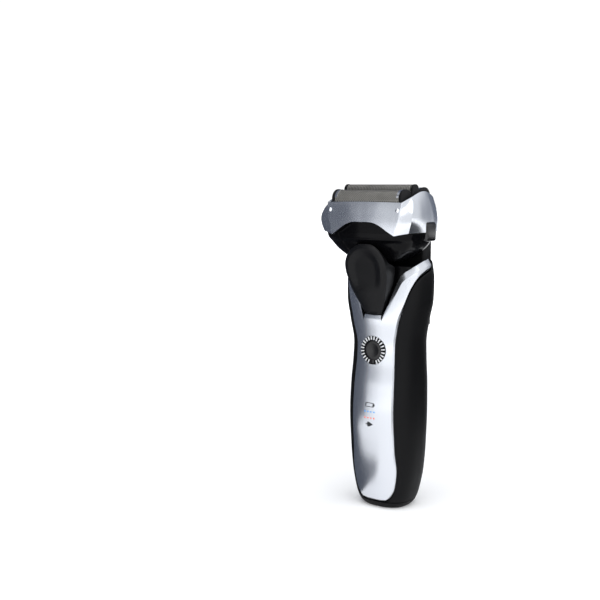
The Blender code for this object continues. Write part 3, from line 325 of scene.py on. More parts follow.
# ---------------------------------------------------------------- shader building
class Wire:
    """A shader socket that takes part in Python arithmetic."""

    def __init__(self, bench: "Bench", socket: bpy.types.NodeSocket) -> None:
        """Keep the socket and the bench that adds nodes for it."""
        self.bench = bench
        self.socket = socket

    def _maths(self, operation: str, *values: object) -> "Wire":
        """Add a Math node on this wire and further values."""
        inputs = {i: value for i, value in enumerate(values)}
        return self.bench.node("ShaderNodeMath", {"operation": operation}, inputs)[0]

    def __add__(self, other: object) -> "Wire":
        """Add a value or wire."""
        return self._maths("ADD", self, other)

    __radd__ = __add__

    def __sub__(self, other: object) -> "Wire":
        """Subtract a value or wire."""
        return self._maths("SUBTRACT", self, other)

    def __rsub__(self, other: object) -> "Wire":
        """Subtract this wire from a value."""
        return self._maths("SUBTRACT", other, self)

    def __mul__(self, other: object) -> "Wire":
        """Multiply by a value or wire."""
        return self._maths("MULTIPLY", self, other)

    __rmul__ = __mul__

    def __gt__(self, other: object) -> "Wire":
        """Return 1 where this wire is greater."""
        return self._maths("GREATER_THAN", self, other)

    def sine(self) -> "Wire":
        """Return the sine of this wire."""
        return self._maths("SINE", self)

    def clamped(self, low: float, high: float) -> "Wire":
        """Map the span from low to high onto 0 to 1, eased."""
        settings = {"interpolation_type": "SMOOTHSTEP"}
        inputs = {"Value": self, "From Min": low, "From Max": high}
        return self.bench.node("ShaderNodeMapRange", settings, inputs)[0]


class Bench:
    """Builds one material around a Principled shader."""

    def __init__(self, name: str) -> None:
        """Start an empty material of that name."""
        self.material = bpy.data.materials.new(name)
        self.material.use_nodes = True
        self.tree = self.material.node_tree
        self.shader = self.tree.nodes["Principled BSDF"]

    def node(self, kind: str, settings: dict[str, object], inputs: dict[object, object]) -> list[Wire]:
        """Add a node.

        Args:
            kind: The node's type.
            settings: Its properties, set first; a list under "ramp" holds (place, colour) stops.
            inputs: Values or wires by socket name or number.

        Returns:
            The node's outputs as wires.
        """
        made = self.tree.nodes.new(kind)
        for name, value in settings.items():
            if name == "ramp":
                self._fill_ramp(made.color_ramp, value)
            else:
                setattr(made, name, value)
        for key, value in inputs.items():
            if isinstance(value, Wire):
                self.tree.links.new(value.socket, made.inputs[key])
            else:
                made.inputs[key].default_value = value
        return [Wire(self, socket) for socket in made.outputs if socket.enabled]

    @staticmethod
    def _fill_ramp(ramp: bpy.types.ColorRamp, stops: Sequence[tuple[float, Sequence[float]]]) -> None:
        """Put the stops on a colour ramp."""
        while len(ramp.elements) < len(stops):
            ramp.elements.new(0.5)
        for element, (place, color) in zip(ramp.elements, stops):
            element.position = place
            element.color = (*color, 1.0)

    def place(self) -> Wire:
        """Return the object coordinates."""
        return self.node("ShaderNodeTexCoord", {}, {})[3]

    def sheet(self) -> Wire:
        """Return the piece's own UV map."""
        return self.node("ShaderNodeTexCoord", {}, {})[2]

    def stretched(self, vector: Wire, scale: Sequence[float], turn: float = 0.0) -> Wire:
        """Scale and turn a coordinate."""
        inputs = {"Vector": vector, "Scale": scale, "Rotation": (0, 0, turn)}
        return self.node("ShaderNodeMapping", {}, inputs)[0]

    def noise(self, vector: Wire, scale: float, detail: float = 3.0) -> Wire:
        """Return a noise between 0 and 1."""
        return self.node("ShaderNodeTexNoise", {}, {"Vector": vector, "Scale": scale, "Detail": detail})[0]

    def blend(self, factor: Wire, first: Sequence[float], second: Sequence[float] | Wire) -> Wire:
        """Mix two colours by a factor."""
        inputs: dict[object, object] = {0: factor, 6: (*first, 1.0)}
        inputs[7] = second if isinstance(second, Wire) else (*second, 1.0)
        return self.node("ShaderNodeMix", {"data_type": "RGBA"}, inputs)[0]

    def bump(self, height: Wire, distance: float, strength: float = 1.0) -> None:
        """Feed a height, in metres at full white, to the shader's normal."""
        inputs = {"Height": height, "Distance": distance, "Strength": strength}
        self.feed("Normal", self.node("ShaderNodeBump", {}, inputs)[0])

    def feed(self, socket: str, value: object) -> None:
        """Set or link one of the shader's sockets."""
        if isinstance(value, Wire):
            self.tree.links.new(value.socket, self.shader.inputs[socket])
        elif isinstance(value, tuple) and len(value) == 3 and socket != "Subsurface Radius":
            self.shader.inputs[socket].default_value = (*value, 1.0)
        else:
            self.shader.inputs[socket].default_value = value


Color = tuple[float, float, float]


@dataclass(frozen=True)
class Moulded:
    """Moulded or lacquered surface with a fine grain, mottled sheen and a little dust and handling wear.

    Attributes:
        name: The finish's name.
        color: Its base colour.
        rough: Middle roughness.
        worn: How much the roughness varies over the surface.
        grain: Grain size in metres.
        depth: Grain height in metres.
        metal: Metallic value.
        coat: Weight of a clear coat.
        tint: How far the colour varies, as a share.
        shine: Strength of its mirror reflection; 0.5 is common plastic.
    """

    name: str
    color: Color
    rough: float
    worn: float = 0.06
    grain: float = 0.25 * MM
    depth: float = 0.004 * MM
    metal: float = 0.0
    coat: float = 0.0
    tint: float = 0.08
    shine: float = 0.5

    def material(self) -> bpy.types.Material:
        """Build the material."""
        bench = Bench(self.name)
        place = bench.place()
        cloud = bench.noise(place, 60.0, 4.0)
        fine = bench.noise(place, 1.0 / self.grain, 2.0)
        streak = bench.noise(bench.stretched(place, (1.0, 1.0, 0.08)), 900.0, 3.0)
        darker = tuple(value * (1 - self.tint) for value in self.color)
        lighter = tuple(min(1.0, value * (1 + self.tint)) for value in self.color)
        bench.feed("Base Color", bench.blend(cloud * 0.7 + fine * 0.3, darker, lighter))
        bench.feed("Roughness", self.rough + (cloud - 0.5) * self.worn + (streak - 0.5) * self.worn)
        bench.feed("Metallic", self.metal)
        bench.feed("Coat Weight", self.coat)
        bench.feed("Coat Roughness", 0.08)
        bench.feed("Specular IOR Level", self.shine)
        bench.bump(fine, self.depth)
        return bench.material


@dataclass(frozen=True)
class Ground:
    """Ground or drawn metal with fine lines along one axis and faint stains.

    Attributes:
        name: The finish's name.
        color: Its base colour.
        rough: Middle roughness.
        lines: Scale of the lines along X, Y and Z; the small number is the direction they run in.
        depth: Line height in metres.
    """

    name: str
    color: Color
    rough: float
    lines: tuple[float, float, float] = (0.04, 1.0, 1.0)
    depth: float = 0.002 * MM

    def material(self) -> bpy.types.Material:
        """Build the material."""
        bench = Bench(self.name)
        place = bench.place()
        grain = bench.noise(bench.stretched(place, self.lines), 6000.0, 2.0)
        stain = bench.noise(place, 180.0, 4.0)
        darker = tuple(value * 0.82 for value in self.color)
        bench.feed("Base Color", bench.blend(stain * 0.6 + grain * 0.4, darker, self.color))
        bench.feed("Metallic", 1.0)
        bench.feed("Roughness", self.rough + (grain - 0.5) * 0.16 + (stain - 0.5) * 0.08)
        bench.bump(grain, self.depth)
        return bench.material


class Weave(Enum):
    """How a foil is pierced."""

    NET = "net"
    SLITS = "slits"


@dataclass(frozen=True)
class Foil:
    """Pierced shaving foil: steel lands around openings painted dark as the shade seen through them, laid out
    along the sheet.

    Attributes:
        name: The finish's name.
        weave: Round openings in a net, or slits across the sheet.
        length: Length of the sheet in metres.
        girth: Width of the sheet round its bend in metres.
        pitch: Distance between openings in metres.
    """

    name: str
    weave: Weave
    length: float
    girth: float
    pitch: float

    def material(self) -> bpy.types.Material:
        """Build the material."""
        bench = Bench(self.name)
        sheet = bench.sheet()
        across = self.length / self.pitch
        around = self.girth / self.pitch
        if self.weave is Weave.NET:
            lattice = bench.stretched(sheet, (across, around, 1.0), math.radians(45))
            cell = bench.node(
                "ShaderNodeTexVoronoi", {"voronoi_dimensions": "2D"},
                {"Vector": lattice, "Scale": 1.0, "Randomness": 0.0},
            )[0]
            land = cell.clamped(0.26, 0.40)
        else:
            wave = bench.node("ShaderNodeSeparateXYZ", {}, {"Vector": sheet})[0]
            land = ((wave * (2 * math.pi * across)).sine() * 0.5 + 0.5).clamped(0.30, 0.62)
        cloud = bench.noise(bench.place(), 260.0, 3.0)
        steel = bench.blend(cloud, (0.25, 0.24, 0.215), (0.40, 0.385, 0.35))
        # Openings get a near-black colour: painted shade standing in for the dark inside of each hole.
        bench.feed("Base Color", bench.blend(land, (0.035, 0.033, 0.030), steel))
        bench.feed("Metallic", land)
        bench.feed("Roughness", 0.62 - land * 0.30 + cloud * 0.08)
        bench.bump(land, 0.05 * MM)
        return bench.material


@dataclass(frozen=True)
class Glow:
    """Lit indicator lens.

    Attributes:
        name: The finish's name.
        color: Its base colour.
        light: The colour it gives off.
        power: Strength of the glow.
    """

    name: str
    color: Color
    light: Color
    power: float

    def material(self) -> bpy.types.Material:
        """Build the material."""
        bench = Bench(self.name)
        cloud = bench.noise(bench.place(), 2500.0, 2.0)
        darker = tuple(value * 0.7 for value in self.color)
        bench.feed("Base Color", bench.blend(cloud, darker, self.color))
        bench.feed("Roughness", 0.18 + cloud * 0.12)
        bench.feed("Emission Color", self.light)
        bench.feed("Emission Strength", self.power)
        return bench.material


@dataclass(frozen=True)
class Board:
    """Lacquered circuit board with tracks and pads under the lacquer."""

    name: str = "board_green"

    def material(self) -> bpy.types.Material:
        """Build the material."""
        bench = Bench(self.name)
        place = bench.place()
        tracks = bench.node(
            "ShaderNodeTexBrick", {"offset": 0.35},
            {"Vector": bench.stretched(place, (500.0, 500.0, 500.0), 0.0), "Scale": 1.0, "Mortar Size": 0.08},
        )[1]
        cloud = bench.noise(place, 400.0, 3.0)
        bench.feed("Base Color", bench.blend(tracks, (0.02, 0.14, 0.06), (0.05, 0.26, 0.11)))
        bench.feed("Roughness", 0.36 + cloud * 0.2)
        bench.bump(tracks, 0.03 * MM)
        return bench.material


SILVER = Moulded(
    "satin_silver", (0.70, 0.72, 0.76), 0.25, 0.05, 0.12 * MM, 0.0012 * MM, 1.0, tint=0.03,
)
RUBBER = Moulded(
    "grip_rubber", (0.0035, 0.0035, 0.004), 0.52, 0.10, 0.20 * MM, 0.012 * MM, tint=0.25, shine=0.12,
)
GLOSS = Moulded(
    "gloss_black", (0.0018, 0.0018, 0.0022), 0.17, 0.05, 0.30 * MM, 0.0010 * MM, tint=0.2, shine=0.09,
)
MATTE = Moulded(
    "matte_black", (0.0045, 0.0045, 0.005), 0.44, 0.08, 0.18 * MM, 0.008 * MM, tint=0.2, shine=0.16,
)
TRIM = Moulded(
    "frame_trim", (0.002, 0.002, 0.0025), 0.26, 0.06, 0.25 * MM, 0.002 * MM, tint=0.2, shine=0.2,
)
INNER = Moulded("inner_grey", (0.10, 0.10, 0.105), 0.55, 0.08, 0.30 * MM, 0.010 * MM)
SEAL = Moulded("seal_rubber", (0.04, 0.04, 0.042), 0.75, 0.08, 0.25 * MM, 0.012 * MM, shine=0.3)
WRAP = Moulded("cell_wrap", (0.06, 0.16, 0.30), 0.34, 0.10, 0.60 * MM, 0.010 * MM, coat=0.3)
PAD = Moulded(
    "thumb_pad", (0.0028, 0.0028, 0.0034), 0.40, 0.08, 0.20 * MM, 0.010 * MM, tint=0.25, shine=0.20,
)
BUTTON = Moulded(
    "button_black", (0.002, 0.002, 0.0024), 0.20, 0.05, 0.25 * MM, 0.002 * MM, tint=0.2, shine=0.5,
)
TICK = Moulded("bright_tick", (0.86, 0.87, 0.88), 0.34, 0.05, 0.20 * MM, 0.001 * MM, 0.6, tint=0.03)
PRINT = Moulded("dark_print", (0.010, 0.011, 0.013), 0.42, 0.06, 0.10 * MM, 0.002 * MM)
CHROME = Moulded("chrome", (0.84, 0.85, 0.87), 0.14, 0.05, 0.20 * MM, 0.001 * MM, 1.0, tint=0.03)
STEEL = Ground("steel", (0.60, 0.60, 0.59), 0.28)
NICKEL = Ground("nickel", (0.72, 0.68, 0.60), 0.30, (1.0, 1.0, 0.05))
COPPER = Ground("copper", (0.70, 0.34, 0.18), 0.36, (1.0, 0.03, 1.0), 0.010 * MM)
BLUE_LIGHT = Glow("blue_light", (0.03, 0.26, 0.62), (0.05, 0.36, 0.9), 0.45)
RED_LIGHT = Glow("red_light", (0.70, 0.10, 0.06), (0.95, 0.15, 0.08), 0.45)
GUIDE = Glow("clear_guide", (0.12, 0.30, 0.60), (0.1, 0.3, 0.6), 0.1)


class Wardrobe:
    """Builds each finish once and puts it on pieces."""

    def __init__(self) -> None:
        """Start with no materials made."""
        self.made: dict[str, bpy.types.Material] = {}

    def get(self, finish: object) -> bpy.types.Material:
        """Return the finish's material, building it the first time."""
        if finish.name not in self.made:
            self.made[finish.name] = finish.material()
        return self.made[finish.name]

    def dress(self, item: bpy.types.Object, *finishes: object) -> bpy.types.Object:
        """Give an object its finishes in slot order."""
        for number, finish in enumerate(finishes):
            if number < len(item.data.materials):
                item.data.materials[number] = self.get(finish)
            else:
                item.data.materials.append(self.get(finish))
        return item


WARDROBE = Wardrobe()


def place_piece(
    item: bpy.types.Object, body: str, slot: str, finishes: Sequence[object], *nodes: str
) -> bpy.types.Object:
    """Dress a finished piece, tie it to a body and hide the solids that it stands for.

    Args:
        item: The finished piece.
        body: The body it moves with.
        slot: The record's material slot; not used.
        finishes: Its finishes in slot order.
        nodes: The solids that it replaces.

    Returns:
        The piece.
    """
    WARDROBE.dress(item, *finishes)
    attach(item, body)
    if nodes:
        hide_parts(*nodes)
    LOG.info("%s on %s, %d faces", item.name, body, len(item.data.polygons))
    return item


# ---------------------------------------------------------------- handle
@dataclass
class HandleSkin:
    """Outer surface of the handle, as a lofted rounded section.

    Attributes:
        width: Widest part of the lower handle.
        depth: Its depth at the same height.
        power: Roundness of the section; 2 is an ellipse.
        stations: Height, half width as a share of the width, and the reach of the front and of the
            back as shares of the depth.
    """

    width: float = 37.6 * MM
    depth: float = 33.6 * MM
    power: float = 2.5
    stations: tuple[tuple[float, float, float, float], ...] = (
        (0.0 * MM, 0.2979, 0.2857, 0.2798),
        (2.0 * MM, 0.3511, 0.3393, 0.3393),
        (5.0 * MM, 0.3910, 0.3750, 0.3869),
        (11.0 * MM, 0.4309, 0.4077, 0.4286),
        (19.0 * MM, 0.4681, 0.4315, 0.4583),
        (30.0 * MM, 0.4894, 0.4583, 0.4821),
        (48.0 * MM, 0.5000, 0.4940, 0.5060),
        (62.0 * MM, 0.4947, 0.4643, 0.5119),
        (74.0 * MM, 0.4761, 0.4226, 0.5119),
        (82.0 * MM, 0.4707, 0.4077, 0.5089),
        (94.0 * MM, 0.5266, 0.4405, 0.5000),
        (104.0 * MM, 0.5904, 0.4167, 0.4881),
        (114.0 * MM, 0.6037, 0.3810, 0.4702),
        (125.0 * MM, 0.5638, 0.3452, 0.4405),
    )

    def half_width(self, height: float) -> float:
        """Return half the width at a height."""
        return self.width * through([(row[0], row[1]) for row in self.stations], height)

    def reach(self, height: float, front: bool) -> float:
        """Return the depth to the front or to the back at a height."""
        column = 2 if front else 3
        return self.depth * through([(row[0], row[column]) for row in self.stations], height)

    def point(self, angle: float, height: float, inset: float = 0.0) -> Vector:
        """Return a point on the skin.

        Args:
            angle: Degrees from the front centre round the +X side.
            height: Height of the point.
            inset: How far it lies below the skin.

        Returns:
            The point, measured from the handle's axis.
        """
        turn = math.radians(angle)
        sine, cosine = math.sin(turn), math.cos(turn)
        x = (self.half_width(height) - inset) * math.copysign(abs(sine) ** (2 / self.power), sine)
        depth = self.reach(height, cosine > 0) - inset
        return Vector((x, -depth * math.copysign(abs(cosine) ** (2 / self.power), cosine), height))

    def ring(self, height: float, inset: float = 0.0, count: int = 96) -> Ring:
        """Return a closed ring of the skin at a height."""
        return [self.point(360.0 * i / count, height, inset) for i in range(count)]

    def front_at(self, x: float, height: float) -> float:
        """Return the y of the front skin at a sideways distance."""
        share = min(1.0, abs(x) / self.half_width(height))
        return -self.reach(height, True) * (1 - share ** self.power) ** (1 / self.power)


SKIN = HandleSkin()


@dataclass
class FrontPanel:
    """Silver panel that rises from the foot and forks into two arms round the neck.

    Attributes:
        edge: Height and angle of its outer edge.
        arm_inner: Angle and height of the upper edge of an arm.
        tongue_angle: Half width of the tongue between the arms, in degrees.
        tongue_columns: How many faces the tongue has across its half.
        side_columns: How many points each side has across.
        arm_rows: How many faces an arm has along it.
        fork: Height at which the arms part.
        tongue_top: Top of the tongue.
        wall: Thickness.
        chamfer: Width and fall of the narrow facet along the outer edge.
        lip: Width and fall of the broad facet along the arms' inner edge.
    """

    edge: tuple[tuple[float, float], ...] = (
        (3.5 * MM, 13.0), (4.3 * MM, 24.0), (6.4 * MM, 34.0), (11.0 * MM, 41.5), (19.0 * MM, 43.0),
        (30.0 * MM, 38.0), (50.0 * MM, 36.0), (80.0 * MM, 35.0), (90.0 * MM, 38.0), (100.0 * MM, 42.0),
        (107.0 * MM, 48.0),
        (112.0 * MM, 56.0), (115.5 * MM, 67.0), (119.7 * MM, 100.0),
    )
    arm_inner: tuple[tuple[float, float], ...] = (
        (10.5, 94.0 * MM), (16.0, 100.5 * MM), (24.0, 109.5 * MM), (33.0, 116.2 * MM), (50.0, 119.6 * MM),
        (75.0, 122.4 * MM), (100.0, 124.2 * MM),
    )
    tongue_angle: float = 10.5
    fork: float = 94.0 * MM
    tongue_top: float = 97.0 * MM
    wall: float = 1.4 * MM
    chamfer: tuple[float, float] = (1.15 * MM, 0.62 * MM)
    lip: tuple[float, float] = (2.8 * MM, 1.1 * MM)
    tongue_columns: int = 8
    side_columns: int = 20
    arm_rows: int = 80

    def edge_angle(self, height: float) -> float:
        """Return the angle of the outer edge at a height."""
        return through(self.edge, height)

    def arm_row(self, share: float) -> tuple[tuple[float, float], tuple[float, float]]:
        """Return the inner and outer edge of an arm, as (angle, height), at a share of its length."""
        inner_angle = self.arm_inner[0][0] + (self.arm_inner[-1][0] - self.arm_inner[0][0]) * share
        outer = self.fork + (self.edge[-1][0] - self.fork) * (1 - (1 - share) ** 1.8)
        return (inner_angle, through(self.arm_inner, inner_angle)), (self.edge_angle(outer), outer)

    def shares(self, width: float, lip: float) -> list[float]:
        """Return the places of the columns across one side, with one at each facet's edge."""
        start = lip / width
        end = 1 - self.chamfer[0] / width
        return [0.0, *spread(start, end, self.side_columns - 2), 1.0]

    def lower_point(self, column: int, height: float) -> Vector:
        """Return a point of the panel below the fork."""
        edge = self.edge_angle(height)
        start = SKIN.point(self.tongue_angle, height)
        width = (SKIN.point(edge, height) - start).length
        if column < self.tongue_columns:
            angle = self.tongue_angle * column / self.tongue_columns
            side = width
        else:
            share = self.shares(width, 0.3 * MM)[column - self.tongue_columns]
            angle = self.tongue_angle + (edge - self.tongue_angle) * share
            side = (1 - share) * width
        near = min(side, (height - self.edge[0][0]) + 0.02 * MM)
        return SKIN.point(angle, height, self.chamfer[1] * max(0.0, 1 - near / self.chamfer[0]))

    def tongue_point(self, column: int, row: int) -> Vector:
        """Return a point of the tongue above the fork, whose top falls away a little."""
        share = row / 4
        height = self.fork + (self.tongue_top - self.fork) * share
        angle = self.tongue_angle * column / self.tongue_columns * (1 - 0.1 * share)
        return SKIN.point(angle, height, 0.5 * MM * smooth((share - 0.6) / 0.4))

    def arm_point(self, column: int, row: int) -> Vector:
        """Return a point of an arm."""
        share = row / self.arm_rows
        inner, outer = self.arm_row(share)
        width = (SKIN.point(*inner) - SKIN.point(*outer)).length
        grown = smooth(share / 0.25)
        lip = 0.3 * MM + (self.lip[0] - 0.3 * MM) * grown
        across = self.shares(width, lip)[column]
        angle = inner[0] + (outer[0] - inner[0]) * across
        height = inner[1] + (outer[1] - inner[1]) * across
        fall = self.lip[1] * grown * max(0.0, 1 - across * width / lip)
        fall += self.chamfer[1] * max(0.0, 1 - (1 - across) * width / self.chamfer[0])
        return SKIN.point(angle, height, fall)

    def build(self, ring_radius: float, ring_height: float) -> bpy.types.Object:
        """Model the panel with the button ring's hole."""
        foot = self.edge[0][0]
        levels = [foot, foot + self.chamfer[0], *spread(foot + 2.2 * MM, self.fork, 70)]
        lower = shaped_grid(
            "front_panel_skin", self.tongue_columns + self.side_columns, len(levels),
            lambda i, j: self.lower_point(i, levels[j]),
        )
        tongue = shaped_grid("tongue", self.tongue_columns + 1, 5, self.tongue_point)
        arm = shaped_grid("arm", self.side_columns, self.arm_rows + 1, self.arm_point)
        panel = joined("front_panel_skin", [lower, tongue, arm])
        tidy_mesh(panel)
        modify(panel, "MIRROR", merge_threshold=0.02 * MM)
        face_out(panel, at(0, -16 * MM, 50 * MM), Vector((0, -1, 0)))
        modify(panel, "SOLIDIFY", thickness=self.wall, offset=-1.0)
        middle = at(0, SKIN.front_at(0, ring_height), ring_height)
        cut(panel, round_bar("hole", ring_radius + 0.1 * MM, 12 * MM, middle, "Y", 96))
        return soften(panel, 20)


@dataclass
class Grip:
    """Black rubber sides and back, from the panel's edge right round, and the rounded foot.

    Attributes:
        wall: Thickness.
        seam: Open line between panel and grip.
        foot: Lower edge.
        top: Upper edge.
    """

    panel: FrontPanel
    wall: float = 1.8 * MM
    seam: float = 0.32 * MM
    foot: float = 3.5 * MM
    top: float = 123.4 * MM
    columns: int = 48

    def start(self, height: float) -> float:
        """Return the angle at which the grip starts beside the panel."""
        gap = math.degrees(self.seam / SKIN.half_width(height)) * 1.25
        return max(self.panel.edge_angle(height) + gap, self.panel.edge_angle(height + 2.4 * self.seam))

    def build(self) -> bpy.types.Object:
        """Model the grip with the trimmer's bay cut out of its back."""
        levels = spread(self.foot, 104 * MM, 50) + spread(104.5 * MM, self.top, 50)

        def shape(column: int, row: int) -> Vector:
            """Return a point of the grip's half."""
            height = levels[row]
            start = self.start(height)
            share = column / (self.columns - 1)
            edge = 0.35 * MM * max(0.0, 1 - column / 2)
            edge += 0.5 * MM * max(0.0, 1 - (self.top - height) / (0.8 * MM))
            return SKIN.point(start + (180.0 - start) * share, height, edge)

        grip = shaped_grid("grip_skin", self.columns, len(levels), shape)
        tidy_mesh(grip)
        modify(grip, "MIRROR", merge_threshold=0.02 * MM)
        face_out(grip, at(0, 17 * MM, 50 * MM), Vector((0, 1, 0)))
        modify(grip, "SOLIDIFY", thickness=self.wall, offset=-1.0)
        low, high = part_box("trimmer_housing")
        margin = Vector((GAP, 5 * MM, GAP))
        bay = block("bay", low - margin, high + Vector((GAP, 20 * MM, 10 * MM)))
        cut(grip, bay)
        return soften(grip, 35)

    def build_cap(self) -> bpy.types.Object:
        """Model the rounded foot with the inlet's opening and the screws' seats."""
        seam = self.panel.edge[0][0] - 0.35 * MM
        inside = self.wall + GAP
        rings = [SKIN.ring(0.0, inset) for inset in (6.0 * MM, 3.0 * MM, 1.2 * MM, 0.5 * MM)]
        rings += [SKIN.ring(0.12 * MM, 0.15 * MM)]
        rings += [SKIN.ring(height) for height in spread(0.35 * MM, seam, 12)]
        rings += [SKIN.ring(seam, inside), SKIN.ring(8.0 * MM, inside)]
        cap = lofted("foot_cap", rings)
        low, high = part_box("inlet_socket")
        cut(cap, block("inlet_hole", low - Vector((GAP, GAP, 3 * MM)), high + Vector((GAP, GAP, 3 * MM))))
        for name in ("bottom_screw_front", "bottom_screw_rear"):
            low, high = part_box(name)
            middle = (low + high) / 2
            radius = (high.x - low.x) / 2 + GAP
            cut(cap, round_bar("seat", radius, 4.2 * MM, Vector((middle.x, middle.y, 0)), "Z"))
            cut(cap, round_bar("bore", radius * 0.6, 30 * MM, Vector((middle.x, middle.y, 0)), "Z"))
        return soften(cap, 40)


@dataclass
class Neck:
    """Black neck between the arms, with the yoke that carries the head.

    Attributes:
        inset: How far the neck lies below the handle's skin.
        top: Its upper face.
        levels: Heights of its straight part.
        lug: Radius and thickness of each lug.
        post: How far the lugs' posts reach down from the hub.
    """

    inset: float = 2.4 * MM
    top: float = 121.0 * MM
    lug: tuple[float, float] = (3.6 * MM, 3.0 * MM)
    post: float = 11.0 * MM
    levels: tuple[float, ...] = (97.0 * MM, 103.0 * MM, 109.0 * MM, 113.0 * MM, 116.0 * MM)

    def build(self) -> bpy.types.Object:
        """Model the neck and its two lugs."""
        low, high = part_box("neck")
        heights = [low.z, *spread(self.levels[0], self.levels[-1], 16)]
        rings = [SKIN.ring(height, self.inset) for height in heights]
        shoulder = rings[-1]
        for step in spread(0.15, 1.0, 7):
            share = 1 - 0.12 * (1 - math.sqrt(max(0.0, 1 - step ** 2)))
            height = self.levels[-1] + (self.top - self.levels[-1]) * math.sin(step * math.pi / 2)
            squeeze = 0.3 * share + 0.7
            rings.append([Vector((point.x * share, point.y * squeeze, height)) for point in shoulder])
        neck = lofted("neck_skin", rings)
        only(neck)
        bpy.ops.object.mode_set(mode="EDIT")
        bpy.ops.mesh.select_all(action="SELECT")
        bpy.ops.mesh.bisect(plane_co=(0, high.y, 0), plane_no=(0, 1, 0), use_fill=True, clear_outer=True)
        bpy.ops.object.mode_set(mode="OBJECT")
        for side in (-1, 1):
            middle = HUB + Vector((0, side * LUG_APART, 0))
            reach = Vector((self.lug[0], self.lug[1] / 2, 0))
            post = block("post", middle - reach - Vector((0, 0, self.post)), middle + reach)
            lug = round_bar("lug", *self.lug, middle, "Y")
            cut(neck, cut(post, lug, "UNION"), "UNION")
        cut(neck, round_bar("pin_hole", PIN_HOLE, 20 * MM, HUB, "Y"))
        return soften(neck, 35)


@dataclass
class ThumbRest:
    """Domed thumb rest with a sloping rim, a shallow dish above and a crown below.

    Attributes:
        radius: Radius of its round upper part.
        centre: Height of that radius' centre.
        foot: Height of its flat lower edge.
        foot_half: Half the width of that edge.
        stations: Height, depth of the face and depth of the back.
        rim: Width and fall of the sloping rim.
        dish: Depth of the dish.
    """

    radius: float = 12.0 * MM
    centre: float = 120.0 * MM
    foot: float = 97.6 * MM
    foot_half: float = 4.7 * MM
    stations: tuple[tuple[float, float, float], ...] = (
        (97.6 * MM, 14.6 * MM, 13.3 * MM), (103.0 * MM, 16.2 * MM, 12.8 * MM),
        (110.0 * MM, 19.0 * MM, 12.4 * MM), (117.0 * MM, 21.6 * MM, 12.2 * MM),
        (120.5 * MM, 22.4 * MM, 12.6 * MM), (123.0 * MM, 22.9 * MM, 17.4 * MM),
        (127.0 * MM, 23.2 * MM, 19.6 * MM), (132.0 * MM, 23.0 * MM, 21.2 * MM),
    )
    rim: tuple[float, float] = (2.5 * MM, 1.5 * MM)
    dish: float = 1.0 * MM
    columns: int = 60
    rows: int = 70

    def half_width(self, height: float) -> float:
        """Return half the width at a height."""
        if height > self.centre:
            rise = min(1.0, (height - self.centre) / self.radius)
            return self.radius * math.sqrt(max(0.0, 1 - rise ** 2))
        drop = (self.centre - height) / (self.centre - self.foot)
        return self.radius + (self.foot_half - self.radius) * drop ** 1.7

    def face(self, share: float, height: float) -> float:
        """Return the depth of the front face at a share of the half width."""
        half = self.half_width(height)
        x = share * half
        if height > self.centre:
            inward = self.radius - math.hypot(x, height - self.centre)
        else:
            inward = half - abs(x)
        inward = min(inward, (height - self.foot) * 1.6)
        depth = through([(row[0], row[1]) for row in self.stations], height)
        upper = smooth((height - 108 * MM) / (8 * MM))
        slope = max(0.0, 1 - inward / self.rim[0])
        depth -= self.rim[1] * (slope ** 1.4) * (0.45 + 0.55 * upper)
        hollow = smooth((inward - 2.0 * MM) / (4.5 * MM))
        depth -= self.dish * hollow * upper
        return depth + 1.3 * MM * (1 - share ** 2) * (1 - upper)

    def build(self) -> bpy.types.Object:
        """Model the rest."""
        top = self.centre + self.radius - 0.25 * MM
        front = self.columns * 3 // 4
        rings = []
        for row in range(self.rows):
            height = self.foot + (top - self.foot) * math.sin(row / (self.rows - 1) * math.pi / 2)
            half = self.half_width(height)
            back = through([(line[0], line[2]) for line in self.stations], height)
            ring = [Vector((half * s, -self.face(s, height), height)) for s in spread(-1, 1, front)]
            for s in spread(1, -1, self.columns - front):
                ring.append(Vector((half * s * 0.94, -back, height)))
            rings.append(ring)
        rest = lofted("thumb_rest_pad", rings)
        return soften(rest, 42)


